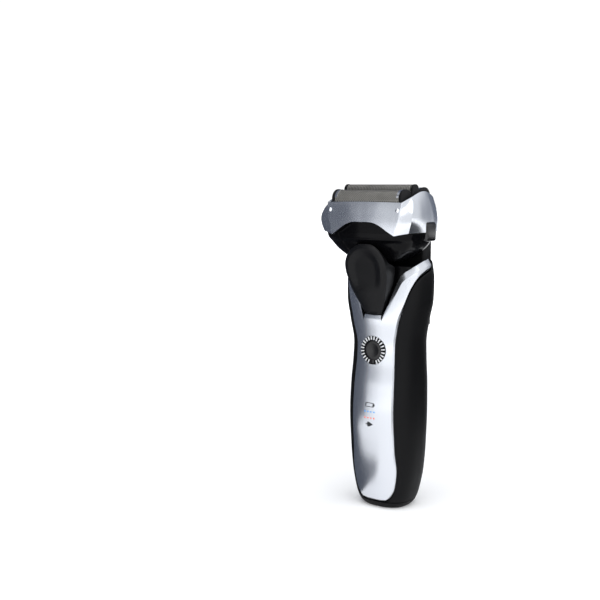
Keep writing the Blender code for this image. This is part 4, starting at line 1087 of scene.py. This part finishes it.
@dataclass
class PowerButton:
    """Round button in a toothed bright ring.

    Attributes:
        radius: Radius of the ring.
        height: Height of its centre.
        teeth: How many teeth go round.
    """

    radius: float = 7.0 * MM
    height: float = 79.5 * MM
    teeth: int = 24

    def front(self) -> float:
        """Return the y of the ring's face, measured from the handle's axis."""
        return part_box("button_ring")[0].y - AXIS_Y

    def build_ring(self) -> tuple[bpy.types.Object, bpy.types.Object]:
        """Model the dark seat and the bright teeth standing on it."""
        centre = Vector((0, self.front(), self.height))
        inner = self.radius - 1.85 * MM
        profile = [
            (inner, 0.55 * MM), (self.radius - 0.25 * MM, 0.45 * MM), (self.radius, 0.75 * MM),
            (self.radius, 2.0 * MM), (inner, 2.0 * MM),
        ]
        seat = turned("ring_seat", [*profile, profile[0]], centre, 96)
        tooth = block("tooth", Vector((-0.28, -0.44, -0.90)) * MM, Vector((0.28, 0.55, 0.90)) * MM, 0.12 * MM)
        middle = Vector((0, centre.y + 0.42 * MM, self.height))
        copies = []
        for i in range(self.teeth):
            if abs(i + 0.5 - self.teeth / 2) < 1:
                continue
            copy = tooth.copy()
            copy.data = tooth.data.copy()
            bpy.context.collection.objects.link(copy)
            turn = Matrix.Rotation(2 * math.pi * (i + 0.5) / self.teeth, 4, "Y")
            lift = Matrix.Translation(Vector((0, 0, self.radius - 0.95 * MM)))
            copy.data.transform(Matrix.Translation(at(*middle)) @ turn @ lift)
            copies.append(copy)
        bpy.data.objects.remove(tooth, do_unlink=True)
        return soften(seat, 35), soften(joined("ring_teeth", copies), 35)

    def build_button(self) -> bpy.types.Object:
        """Model the button with its soft crown and the tab at six o'clock."""
        face = self.front() + 0.2 * MM
        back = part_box("power_button")[1].y - AXIS_Y
        edge = self.radius - 2.0 * MM
        profile = [(0.0, 0.28 * MM), (1.6 * MM, 0.22 * MM), (3.2 * MM, 0.08 * MM), (edge - 0.7 * MM, 0.0)]
        profile += [(edge - 0.25 * MM, 0.10 * MM), (edge, 0.45 * MM), (edge, 1.5 * MM)]
        profile += [(2.0 * MM, 1.5 * MM), (2.0 * MM, back - face), (0.0, back - face)]
        button = turned("power_cap", profile, Vector((0, face, self.height)), 72)
        low = at(-0.95 * MM, face - 0.1 * MM, self.height - self.radius + 0.35 * MM)
        tab = block("tab", low, at(0.95 * MM, face + 1.2 * MM, self.height - edge + 0.5 * MM), 0.2 * MM)
        cut(button, tab, "UNION")
        return soften(button, 30)


@dataclass
class Indicators:
    """Two rows of lit dots between a battery sign and a plug sign.

    Attributes:
        dots: How many dots a row has.
        pitch: Distance between them.
        dot: Radius of one.
        battery: Height of the battery sign.
        plug: Height of the plug sign.
    """

    dots: int = 4
    pitch: float = 1.75 * MM
    dot: float = 0.42 * MM
    battery: float = 52.7 * MM
    plug: float = 43.0 * MM

    def build_row(self, name: str, height: float) -> bpy.types.Object:
        """Model one row of domed dots."""
        dots = []
        for i in range(self.dots):
            x = (i - (self.dots - 1) / 2) * self.pitch
            place = Vector((x, SKIN.front_at(x, height), height))
            profile = [(0.0, -0.14 * MM), (self.dot * 0.6, -0.10 * MM), (self.dot, 0.0), (self.dot, 0.6 * MM)]
            dots.append(turned("dot", [*profile, (0.0, 0.6 * MM)], place, 20))
        return soften(joined(name, dots), 40)

    @staticmethod
    def _sign(name: str, outline: Sequence[tuple[float, float, float]], height: float) -> bpy.types.Object:
        """Lay a flat strip on the panel, given as (x, low, high) in millimetres about a height."""
        bpy.ops.mesh.primitive_grid_add(x_subdivisions=len(outline) - 1, y_subdivisions=1, size=1.0)
        item = named(name)
        for vert in item.data.vertices:
            index = round((vert.co.x + 0.5) * (len(outline) - 1))
            x, low, high = outline[index]
            z = height + (high if vert.co.y > 0 else low) * MM
            vert.co = at(x * MM, SKIN.front_at(x * MM, z) - 0.03 * MM, z)
        modify(item, "SOLIDIFY", thickness=0.06 * MM, offset=0.0)
        return tidy_mesh(item)

    def build_battery(self) -> bpy.types.Object:
        """Model the outline of a battery with its end stud."""
        strips = (
            ((-2.4, 0.75, 1.05), (0, 0.75, 1.05), (2.4, 0.75, 1.05)),
            ((-2.4, -1.05, -0.75), (0, -1.05, -0.75), (2.4, -1.05, -0.75)),
            ((-2.4, -1.05, 1.05), (-2.05, -1.05, 1.05)),
            ((1.75, -1.05, 1.05), (2.4, -1.05, 1.05)),
            ((2.35, -0.5, 0.5), (2.9, -0.5, 0.5)),
        )
        return joined("battery_sign", [self._sign("strip", strip, self.battery) for strip in strips])

    def build_plug(self) -> bpy.types.Object:
        """Model a solid plug sign with its lead on one side."""
        strips = (
            ((-2.3, -0.22, 0.22), (-1.2, -0.22, 0.22)),
            ((-1.3, -1.2, 1.2), (-0.3, -1.2, 1.2), (0.6, -0.75, 0.75), (1.9, -0.1, 0.1)),
        )
        return joined("plug_sign", [self._sign("strip", strip, self.plug) for strip in strips])


# ---------------------------------------------------------------- head
@dataclass
class HeadShape:
    """Outlines that the frame, the bowl and the foils share.

    Attributes:
        bottom: Lower edge of the frame, right half from front centre to back centre, in millimetres.
        top: Its upper edge.
        swell: How far each point swells outwards half way up, in x and y.
        centre: Middle of the head, in y.
        corners: Numbers of the two points where the walls turn sharply.
    """

    bottom: tuple[tuple[float, float, float], ...] = (
        (0.0, -24.8, 142.4), (3.6, -24.8, 142.4), (7.0, -24.7, 142.0), (10.8, -24.5, 140.4),
        (14.6, -24.2, 138.0), (18.0, -23.9, 136.1), (24.5, -21.2, 137.4), (26.3, -15.0, 137.6),
        (26.7, -9.9, 137.6), (26.6, -5.0, 137.6), (26.3, -0.3, 137.6), (24.4, 4.4, 137.7),
        (20.4, 8.6, 137.8), (12.0, 10.8, 137.8), (0.0, 11.6, 137.8),
    )
    top: tuple[tuple[float, float, float], ...] = (
        (0.0, -22.9, 151.9), (4.4, -22.9, 151.9), (8.8, -22.9, 151.85), (13.0, -22.8, 151.8),
        (17.4, -22.7, 151.7), (21.4, -22.6, 151.6), (22.2, -14.6, 154.4), (22.3, -11.0, 155.7),
        (22.3, -7.5, 156.6), (22.3, -4.0, 156.8), (22.2, -0.8, 156.2), (21.8, 3.4, 154.6),
        (19.8, 6.0, 153.8), (11.0, 6.9, 153.4), (0.0, 7.2, 153.2),
    )
    swell: tuple[tuple[float, float], ...] = (
        (0.0, -0.35), (0.1, -0.35), (0.2, -0.35), (0.3, -0.35), (0.4, -0.35), (0.5, -0.35), (3.0, -3.0),
        (2.2, -1.6), (1.6, -0.6), (1.2, 0.0), (1.0, 0.2), (0.9, 0.6), (0.5, 0.9), (0.0, 1.1), (0.0, 1.1),
    )
    centre: float = -7.0 * MM
    corners: tuple[int, int] = (5, 6)

    def around(self, half: Sequence[Vector], steps: int, sharp: bool) -> Ring:
        """Refine a half outline and mirror it into a full ring.

        Args:
            half: The points from front centre to back centre.
            steps: Pieces per stretch.
            sharp: Whether the two corners stay sharp.

        Returns:
            The closed ring, counter-clockwise seen from above.
        """
        first, second = self.corners
        if sharp:
            line = flowing(half[: first + 1], steps)[:-1]
            line += flowing(half[first: second + 1], steps)[:-1]
            line += flowing(half[second:], steps)
        else:
            line = flowing(half, steps)
        line = [Vector((max(0.0, point.x), point.y, point.z)) for point in line]
        line[0].x = 0.0
        line[-1].x = 0.0
        return line + [Vector((-p.x, p.y, p.z)) for p in reversed(line[1:-1])]

    def wall_ring(self, share: float, steps: int) -> Ring:
        """Return the frame's ring at a share of its height."""
        half = []
        for low, high, swell in zip(self.bottom, self.top, self.swell):
            point = Vector(low).lerp(Vector(high), share) + Vector((*swell, 0.0)) * math.sin(math.pi * share)
            half.append(point * MM)
        half[0].x = 0.0
        half[-1].x = 0.0
        return self.around(half, steps, True)


SHAPE = HeadShape()


def notched(item: bpy.types.Object, reach: float) -> bpy.types.Object:
    """Cut the openings that the release buttons sit in, a given reach deeper than the buttons."""
    for name in ("release_button_left", "release_button_right"):
        low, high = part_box(name)
        margin = Vector((reach, GAP, GAP))
        cut(item, block("notch", low - margin, high + margin, 1.0 * MM))
    return item


@dataclass
class FoilFrame:
    """Silver frame round the foils, with a black rear.

    Attributes:
        wall: Thickness.
        levels: Rows of faces up the wall.
        steps: Pieces per stretch of the outline.
        rear: Where the black rear starts, in y from the handle's axis.
    """

    wall: float = 1.0 * MM
    levels: int = 26
    steps: int = 8
    rear: float = 4.8 * MM

    def build(self) -> bpy.types.Object:
        """Model the frame."""
        rings = [SHAPE.wall_ring(share, self.steps) for share in spread(0.0, 1.0, self.levels)]
        shell = lofted("foil_frame_shell", rings, False)
        modify(shell, "SOLIDIFY", thickness=self.wall, offset=-1.0)
        notched(shell, 4 * MM)
        rounded(shell, 0.22 * MM, 2, 24)
        self._paint_rear(shell)
        return soften(shell, 16)

    def _paint_rear(self, shell: bpy.types.Object) -> None:
        """Give the rear faces the second finish."""
        for face in shell.data.polygons:
            face.material_index = 1 if face.center.y - AXIS_Y > self.rear else 0

    def build_rivet(self, name: str) -> bpy.types.Object:
        """Model a domed rivet over the plain one."""
        low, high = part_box(name)
        middle = (low + high) / 2
        radius = (high.x - low.x) / 2
        profile = [(0.0, 0.0), (radius * 0.45, 0.05 * MM), (radius * 0.8, 0.2 * MM), (radius, 0.45 * MM)]
        profile += [(radius, 0.8 * MM), (0.0, 0.8 * MM)]
        place = Vector((middle.x, low.y - AXIS_Y + 0.1 * MM, middle.z))
        return soften(turned(name + "_dome", profile, place, 32), 40)


@dataclass
class Bowl:
    """Glossy black base of the head, a bowl that reaches up inside the frame.

    Attributes:
        stations: Height, half width, front depth and back depth.
        inset: Step inwards under the frame.
        rim: Top of the skirt inside the frame.
        wall: Thickness.
        hub: Corners of the hub in millimetres, from the pin's middle.
        slot: Corners of the slot round each lug, in millimetres from the lug's middle.
    """

    stations: tuple[tuple[float, float, float, float], ...] = (
        (122.4 * MM, 8.0 * MM, -12.6 * MM, 0.6 * MM), (123.8 * MM, 13.6 * MM, -14.9 * MM, 2.4 * MM),
        (126.6 * MM, 18.2 * MM, -17.2 * MM, 4.2 * MM), (129.4 * MM, 21.7 * MM, -18.9 * MM, 5.8 * MM),
        (132.6 * MM, 24.3 * MM, -20.6 * MM, 7.0 * MM), (134.4 * MM, 25.4 * MM, -22.2 * MM, 8.0 * MM),
        (135.4 * MM, 25.9 * MM, -22.3 * MM, 9.8 * MM), (137.0 * MM, 26.4 * MM, -22.4 * MM, 11.0 * MM),
    )
    inset: float = 1.6 * MM
    rim: float = 146.0 * MM
    wall: float = 1.2 * MM
    lean: float = 0.8 * MM
    hub: tuple[tuple[float, float, float], ...] = ((-3.6, -3.6, -6.2), (3.6, 3.6, 4.6))
    slot: tuple[tuple[float, float, float], ...] = ((-4.9, -1.8, -9.0), (4.9, 1.8, 5.0))
    steps: int = 6

    def ring(self, height: float, half: float, front: float, back: float, inset: float = 0.0) -> Ring:
        """Return one ring of the bowl, scaled from the frame's lower outline."""
        reference = [Vector(point) * MM for point in SHAPE.bottom]
        wide = max(point.x for point in reference)
        ahead = min(point.y for point in reference)
        behind = max(point.y for point in reference)
        line = []
        for point in reference:
            reach = ahead if point.y < SHAPE.centre else behind
            end = front + inset if point.y < SHAPE.centre else back - inset
            share = (point.y - SHAPE.centre) / (reach - SHAPE.centre)
            along = SHAPE.centre + share * (end - SHAPE.centre)
            line.append(Vector((point.x / wide * (half - inset), along, height)))
        return SHAPE.around(line, self.steps, False)

    def outer(self, count: int) -> list[tuple[float, float, float, float]]:
        """Return smooth stations up the outside."""
        heights = spread(self.stations[0][0], self.stations[-1][0], count)
        rows = []
        for height in heights:
            values = [through([(s[0], s[n]) for s in self.stations], height) for n in (1, 2, 3)]
            rows.append((height, *values))
        return rows

    def build(self) -> bpy.types.Object:
        """Model the bowl with its hub, yoke slots and button notches."""
        rows = [self.ring(*row) for row in self.outer(30)]
        height, half, front, back = self.stations[-1]
        ahead = front + GAP
        skirt = [(height, self.inset), (self.rim - 4 * MM, self.inset), (self.rim, self.inset + self.lean)]
        rows += [self.ring(level, half, ahead - step, back, step) for level, step in skirt]
        skirt[0] = (height + self.wall, self.inset)
        for level, step in reversed(skirt):
            rows.append(self.ring(level, half, ahead - step, back, step + self.wall))
        for level, wide, near, far in reversed(self.outer(10)[1:7]):
            rows.append(self.ring(level + self.wall, wide, near, far, 1.1 * MM))
        bowl = lofted("bowl_shell", rows)
        low, high = self.hub
        cut(bowl, block("hub", HUB + Vector(low) * MM, HUB + Vector(high) * MM), "UNION")
        low, high = self.slot
        for side in (-1, 1):
            middle = HUB + Vector((0, side * LUG_APART, 0))
            cut(bowl, block("slot", middle + Vector(low) * MM, middle + Vector(high) * MM))
        cut(bowl, round_bar("bore", PIN_HOLE, 30 * MM, HUB, "Y"))
        return soften(notched(bowl, 5 * MM), 32)


@dataclass
class ReleaseButton:
    """Ribbed black button at the side of the head.

    Attributes:
        node: The solid that it stands for.
        side: 1 for the +X side, -1 for the other.
        grooves: Height of each groove's foot as a share of the button, before its lift.
        lift: Lower and upper edge of a groove above that height.
        deep: Depth of a groove below the face, with its start just inside the face.
        end: Distance from a groove to the button's ends.
    """

    node: str
    side: int
    grooves: tuple[float, ...] = (0.28, 0.50, 0.72)
    lift: tuple[float, float] = (0.10 * MM, 0.80 * MM)
    deep: tuple[float, float] = (0.90 * MM, 0.05 * MM)
    end: float = 0.9 * MM

    def build(self) -> bpy.types.Object:
        """Model the button with a rounded face and grooves."""
        low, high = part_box(self.node)
        body = rounded(block(self.node + "_cap", low, high), 1.2 * MM, 4)
        face = high.x if self.side > 0 else low.x
        near, far = sorted(face - self.side * depth for depth in self.deep)
        for share in self.grooves:
            z = low.z + (high.z - low.z) * share
            first = Vector((near, low.y + self.end, z + self.lift[0]))
            cut(body, block("groove", first, Vector((far, high.y - self.end, z + self.lift[1]))))
        return soften(rounded(body, 0.14 * MM, 2, 40), 30)


@dataclass
class FoilUnit:
    """One bent foil with bright clips at its ends.

    Attributes:
        node: The solid that it stands for.
        weave: How the foil is pierced.
        pitch: Distance between openings.
        thickness: Thickness of the sheet.
    """

    node: str
    weave: Weave
    pitch: float
    thickness: float = 0.35 * MM
    steps: int = 36

    def sizes(self) -> tuple[float, float, float, float, float]:
        """Return y, height of the bend's centre, radius, leg and half length, read from the solid."""
        low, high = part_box(self.node)
        radius = (high.y - low.y) / 2
        centre = high.z - radius
        return (high.y + low.y) / 2 - AXIS_Y, centre, radius, centre - low.z, high.x

    def arch(self, radius: float) -> list[tuple[float, float]]:
        """Return the bent section as (y, z) from the front leg's foot over to the rear one's."""
        y, z, outer, leg, _ = self.sizes()
        line = [(y - radius, z - leg), (y - radius, z - leg / 2)]
        for i in range(self.steps + 1):
            turn = math.pi * (1 - i / self.steps)
            line.append((y + radius * math.cos(turn), z + radius * math.sin(turn)))
        return line + [(y + radius, z - leg / 2), (y + radius, z - leg)]

    def build(self) -> bpy.types.Object:
        """Model the bent sheet."""
        _, _, radius, _, half = self.sizes()
        line = self.arch(radius)
        item = shaped_grid(
            self.node + "_sheet", 61, len(line),
            lambda i, j: Vector((half * (2 * i / 60 - 1), *line[j])),
        )
        face_out(item, Vector((0, 0, 1)), Vector((0, 0, 1)))
        modify(item, "SOLIDIFY", thickness=self.thickness, offset=-1.0)
        return soften(item, 40)

    def build_clips(self) -> bpy.types.Object:
        """Model the bright folded clips that grip the sheet's ends."""
        _, _, radius, _, half = self.sizes()
        line = self.arch(radius + 0.02 * MM)[4:-4]
        clips = []
        for side in (-1, 1):
            span = sorted((side * half, side * (half - 1.3 * MM)))
            places = spread(span[0], span[1], 4)
            clip = shaped_grid("clip", 4, len(line), lambda i, j: Vector((places[i], *line[j])))
            face_out(clip, Vector((0, 0, 1)), Vector((0, 0, 1)))
            modify(clip, "SOLIDIFY", thickness=0.16 * MM, offset=1.0)
            clips.append(clip)
        return soften(joined(self.node + "_clips", clips), 40)

    def finish(self) -> Foil:
        """Return the foil's pierced finish."""
        _, _, radius, leg, half = self.sizes()
        return Foil(self.node + "_pierced", self.weave, 2 * half, math.pi * radius + 2 * leg, self.pitch)


@dataclass
class Cassette:
    """Black carrier of the foils: two humped ends and rails beneath."""

    end: float = 1.4 * MM
    units: tuple[FoilUnit, ...] = field(default_factory=tuple)

    def outline(self) -> list[tuple[float, float]]:
        """Return the section of an end, humped over each foil."""
        low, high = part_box("foil_cassette")
        line = [(low.y - AXIS_Y, low.z)]
        for unit, crest in zip(self.units, (0.35 * MM, 0.15 * MM, 0.35 * MM)):
            y, z, radius, _, _ = unit.sizes()
            for i in range(13):
                turn = math.pi * (1 - (0.06 + 0.88 * i / 12))
                reach = radius + crest
                line.append((y + reach * math.cos(turn), min(z + reach * math.sin(turn), high.z)))
        line.append((high.y - AXIS_Y, low.z))
        return line

    def build(self) -> bpy.types.Object:
        """Model both ends and the rails as one carrier."""
        low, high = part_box("foil_cassette")
        line = self.outline()
        ends = []
        for side in (-1, 1):
            near, far = sorted((side * high.x, side * (high.x - self.end)))
            rings = [[Vector((x, y, z)) for y, z in line] for x in (far, near)]
            part = shaped_grid("end", len(line) + 1, 2, lambda i, j: rings[j][i % len(line)])
            tidy_mesh(part, True)
            ends.append(rounded(part, 0.35 * MM, 3, 35))
        rails = []
        for first, second in zip(self.units, self.units[1:]):
            y1, _, r1, _, _ = first.sizes()
            y2, _, r2, _, _ = second.sizes()
            start = at(-high.x + self.end * 0.5, y1 + r1 + GAP, low.z + 0.1 * MM)
            rails.append(block("rail", start, at(high.x - self.end * 0.5, y2 - r2 - GAP, low.z + 1.6 * MM)))
        carrier = ends[0]
        for part in (ends[1], *rails):
            cut(carrier, part, "UNION")
        carrier.name = "foil_carrier"
        return soften(carrier, 35)


@dataclass
class TrimmerHousing:
    """Housing of the pop-up trimmer on the back, with broken outer corners.

    Attributes:
        corner: Width of the facet along each upright corner.
        foot: Width of the facet along the lower edge.
    """

    corner: float = 2.3 * MM
    foot: float = 2.2 * MM

    def build(self) -> bpy.types.Object:
        """Model the housing from the solid's own mesh."""
        solid = frame["nodes"]["trimmer_housing"]
        item = bpy.data.objects.new("trimmer_cover", solid.data.copy())
        item.data.materials.clear()
        item.matrix_world = solid.matrix_world.copy()
        bpy.context.collection.objects.link(item)
        settle(item)
        tidy_mesh(item)
        low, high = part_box("trimmer_housing")
        for side in (-1, 1):
            edge = Vector((side * high.x, high.y, (low.z + high.z) / 2))
            self._facet(item, edge, (0, 0, math.radians(45)), (self.corner, self.corner, 60 * MM))
        edge = Vector((0, high.y, low.z))
        self._facet(item, edge, (math.radians(45), 0, 0), (60 * MM, self.foot, self.foot))
        return soften(rounded(item, 0.25 * MM, 2, 40), 35)

    @staticmethod
    def _facet(item: bpy.types.Object, edge: Vector, turn: Sequence[float], size: Sequence[float]) -> None:
        """Cut a facet along an edge with a box turned about it."""
        bpy.ops.mesh.primitive_cube_add(size=1.0, location=edge, rotation=turn)
        tool = named("facet")
        tool.scale = size
        settle(tool)
        cut(item, tool)


# ---------------------------------------------------------------- studio
@dataclass
class Studio:
    """Pale floor, soft lights and the camera.

    Attributes:
        azimuth: The camera's angle from the front, in degrees.
        distance: How far it stands from the handle's axis.
        height: Its height.
        pitch: How far it looks down, in degrees.
        aside: How far it looks past the shaver, in degrees.
        lens: Focal length in millimetres.
    """

    azimuth: float = 34.0
    distance: float = 0.508
    height: float = 0.1606
    pitch: float = 6.5
    aside: float = 5.02
    lens: float = 61.5

    def camera(self) -> None:
        """Add the camera."""
        turn = math.radians(self.azimuth)
        place = at(self.distance * math.sin(turn), -self.distance * math.cos(turn), self.height)
        heading = math.radians(self.azimuth + self.aside)
        bpy.ops.object.camera_add(location=place, rotation=(math.radians(90 - self.pitch), 0, heading))
        camera = bpy.context.object
        camera.data.lens = self.lens
        camera.data.sensor_width = 36.0
        camera.data.clip_start = 0.01
        camera.data.dof.use_dof = False
        bpy.context.scene.camera = camera

    def floor(self) -> None:
        """Add a wide pale floor with a painted glow, dim near the shaver and bright far off."""
        bpy.ops.mesh.primitive_circle_add(vertices=96, radius=6.0, fill_type="NGON")
        floor = named("floor")
        bench = Bench("pale_floor")
        cloud = bench.noise(bench.place(), 3.0, 2.0)
        bench.feed("Base Color", bench.blend(cloud, (0.90, 0.90, 0.90), (0.93, 0.93, 0.93)))
        bench.feed("Roughness", 0.9)
        bench.feed("Specular IOR Level", 0.1)
        # Painted light: the floor's glow grows with distance from the shaver, so the far floor turns white
        # while the near floor keeps its shadow.
        far = bench.node("ShaderNodeVectorMath", {"operation": "LENGTH"}, {0: bench.place()})[0]
        glow = bench.blend(far.clamped(0.2, 0.9), (0.15, 0.15, 0.15), (0.95, 0.95, 0.95))
        bench.feed("Emission Color", glow)
        bench.feed("Emission Strength", 1.0)
        floor.data.materials.append(bench.material)

    @staticmethod
    def flag(name: str, place: Vector, faces: Vector, size: tuple[float, float], glow: float) -> None:
        """Set a dark card near the shaver that only its reflections show.

        Args:
            name: The card's name.
            place: Its middle.
            faces: The way it faces.
            size: Its two sides.
            glow: How bright it is.
        """
        turn = faces.to_track_quat("Z", "Y").to_euler()
        bpy.ops.mesh.primitive_plane_add(size=1.0, location=place, rotation=turn)
        card = named(name)
        card.scale = (*size, 1.0)
        settle(card)
        bench = Bench(name + "_cloth")
        weave = bench.noise(bench.place(), 400.0, 2.0)
        bench.feed("Base Color", bench.blend(weave, (0.020, 0.022, 0.026), (0.030, 0.032, 0.036)))
        bench.feed("Roughness", 0.9)
        bench.feed("Emission Color", (0.62, 0.72, 1.0))
        bench.feed("Emission Strength", glow)
        card.data.materials.append(bench.material)
        card.visible_camera = False
        card.visible_diffuse = False
        card.visible_shadow = False

    @staticmethod
    def panel(
        name: str, azimuth: float, rise: float, reach: float, size: tuple[float, float], power: float
    ) -> None:
        """Add one soft light panel aimed at the shaver's middle.

        Args:
            name: The light's name.
            azimuth: Degrees from the front round the +X side.
            rise: Degrees above level.
            reach: Distance.
            size: Width and height.
            power: Watts.
        """
        turn, lift = math.radians(azimuth), math.radians(rise)
        aim = Vector((0, 0, 0.085))
        way = Vector((math.sin(turn) * math.cos(lift), -math.cos(turn) * math.cos(lift), math.sin(lift)))
        bpy.ops.object.light_add(type="AREA", location=aim + way * reach)
        light = bpy.context.object
        light.name = name
        light.rotation_euler = (-way).to_track_quat("-Z", "Y").to_euler()
        light.data.shape = "RECTANGLE"
        light.data.size, light.data.size_y = size
        light.data.energy = power

    def lights(self) -> None:
        """Add the light panels, the dark cards and the dim surround."""
        self.panel("key", 48, 30, 0.95, (0.8, 0.6), 1.6)
        self.panel("top", 30, 82, 1.0, (0.8, 0.8), 5.0)
        self.flag("flag_left", Vector((-0.12, 0.0, 0.17)), Vector((1, 0, 0)), (0.34, 0.34), 0.09)
        self.flag("flag_floor", Vector((-0.072, 0.03, 0.001)), Vector((0, 0, 1)), (0.11, 0.18), 0.08)
        self.flag("flag_right", Vector((0.09, 0.08, 0.062)), Vector((-0.74, -0.67, 0)), (0.22, 0.12), 0.01)
        world = bpy.data.worlds.new("surround")
        world.use_nodes = True
        self.dome(world.node_tree)
        bpy.context.scene.world = world
        bpy.context.scene.view_settings.view_transform = "Standard"

    @staticmethod
    def dome(tree: bpy.types.NodeTree) -> None:
        """Make the surround bright on the right, blue-grey on the left, and plain white behind the shaver."""
        way = tree.nodes.new("ShaderNodeTexCoord")
        toward = tree.nodes.new("ShaderNodeVectorMath")
        toward.operation = "DOT_PRODUCT"
        turn, lift = math.radians(62), math.radians(25)
        bright_way = (math.sin(turn) * math.cos(lift), -math.cos(turn) * math.cos(lift), math.sin(lift))
        toward.inputs[1].default_value = bright_way
        tree.links.new(way.outputs["Generated"], toward.inputs[0])
        share = tree.nodes.new("ShaderNodeMapRange")
        share.interpolation_type = "SMOOTHSTEP"
        share.inputs["From Min"].default_value = -0.22
        share.inputs["From Max"].default_value = 0.34
        tree.links.new(toward.outputs["Value"], share.inputs["Value"])
        tone = tree.nodes.new("ShaderNodeMix")
        tone.data_type = "RGBA"
        tone.inputs[6].default_value = (0.13, 0.15, 0.20, 1.0)
        tone.inputs[7].default_value = (1.0, 1.02, 1.05, 1.0)
        tree.links.new(share.outputs[0], tone.inputs[0])
        soft = tree.nodes["Background"]
        tree.links.new(tone.outputs[2], soft.inputs[0])
        plain = tree.nodes.new("ShaderNodeBackground")
        plain.inputs[0].default_value = (1.05, 1.05, 1.05, 1.0)
        seen = tree.nodes.new("ShaderNodeLightPath")
        mixed = tree.nodes.new("ShaderNodeMixShader")
        tree.links.new(seen.outputs["Is Camera Ray"], mixed.inputs[0])
        tree.links.new(soft.outputs[0], mixed.inputs[1])
        tree.links.new(plain.outputs[0], mixed.inputs[2])
        tree.links.new(mixed.outputs[0], tree.nodes["World Output"].inputs[0])

    def build(self) -> None:
        """Set the whole studio."""
        self.floor()
        self.lights()
        self.camera()


# ---------------------------------------------------------------- assembly
CARRIED: dict[str, object] = {
    "inner_case": INNER, "tact_switch": INNER, "bottom_screw_front": STEEL, "bottom_screw_rear": STEEL,
    "pivot_pin": STEEL, "front_blade": STEEL, "middle_blade": STEEL, "rear_blade": STEEL,
    "outer_armature": STEEL, "middle_armature": STEEL, "release_spring_left": STEEL,
    "release_spring_right": STEEL, "trimmer_hinge_pin": STEEL, "trimmer_moving_blade": STEEL,
    "trimmer_fixed_blade": STEEL, "battery_cell": WRAP, "battery_tab_bottom": NICKEL,
    "battery_tab_top": NICKEL, "inlet_pin_left": NICKEL, "inlet_pin_right": NICKEL, "inlet_socket": GLOSS,
    "circuit_board": Board(), "charge_lamp_row": GUIDE, "clean_lamp_row": GUIDE, "neck_gasket": SEAL,
    "motor_stator": COPPER, "trimmer_arm": MATTE, "trimmer_slider": MATTE,
}


def build_handle() -> None:
    """Build everything that stays with the handle."""
    panel = FrontPanel()
    button = PowerButton()
    grip = Grip(panel)
    skin = panel.build(button.radius, button.height)
    place_piece(skin, "handle", "satin_silver", [SILVER], "front_panel")
    place_piece(grip.build(), "handle", "grip_rubber", [RUBBER], "grip_shell")
    place_piece(grip.build_cap(), "handle", "grip_rubber", [RUBBER], "bottom_cap")
    place_piece(Neck().build(), "handle", "gloss_black", [GLOSS], "neck")
    place_piece(ThumbRest().build(), "handle", "matte_black", [PAD], "thumb_rest")
    seat, teeth = button.build_ring()
    place_piece(seat, "handle", "matte_black", [MATTE], "button_ring")
    place_piece(teeth, "handle", "chrome", [TICK])
    place_piece(button.build_button(), "button", "gloss_black", [BUTTON], "power_button")
    place_piece(TrimmerHousing().build(), "handle", "matte_black", [MATTE], "trimmer_housing")
    signs = Indicators()
    for name, node, glow in (
        ("charge_dots", "charge_light_guide", BLUE_LIGHT),
        ("clean_dots", "clean_light_guide", RED_LIGHT),
    ):
        low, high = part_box(node)
        row = signs.build_row(name, (low.z + high.z) / 2)
        place_piece(row, "handle", "clear_guide", [glow], node)
    place_piece(signs.build_battery(), "handle", "matte_black", [PRINT])
    place_piece(signs.build_plug(), "handle", "matte_black", [PRINT])


def build_head() -> None:
    """Build the bowl, the frame, the foils and their carrier."""
    shell = FoilFrame()
    place_piece(shell.build(), "foil_head", "satin_silver", [SILVER, TRIM], "foil_frame")
    for name in ("frame_rivet_1", "frame_rivet_2"):
        place_piece(shell.build_rivet(name), "foil_head", "chrome", [CHROME], name)
    place_piece(Bowl().build(), "head", "gloss_black", [GLOSS], "head_base")
    for side, word in ((-1, "left"), (1, "right")):
        node = "release_button_" + word
        place_piece(ReleaseButton(node, side).build(), "release_" + word, "gloss_black", [BUTTON], node)
    units = (
        FoilUnit("front_foil", Weave.NET, 0.75 * MM),
        FoilUnit("middle_foil", Weave.SLITS, 0.9 * MM),
        FoilUnit("rear_foil", Weave.NET, 0.75 * MM),
    )
    for unit in units:
        body = unit.node + "_unit"
        place_piece(unit.build(), body, "foil_steel", [unit.finish()], unit.node)
        if unit.weave is Weave.NET:
            place_piece(unit.build_clips(), body, "chrome", [CHROME])
    carrier = Cassette(units=units).build()
    place_piece(carrier, "foil_head", "matte_black", [MATTE], "foil_cassette")


def dress_solids() -> None:
    """Give the solids that stay visible their finishes."""
    for node, finish in CARRIED.items():
        WARDROBE.dress(frame["nodes"][node], finish)
        LOG.info("%s keeps its solid", node)


def main() -> None:
    """Build the studio and every piece."""
    Studio().build()
    build_handle()
    build_head()
    dress_solids()


if __name__ == "__main__":
    main()
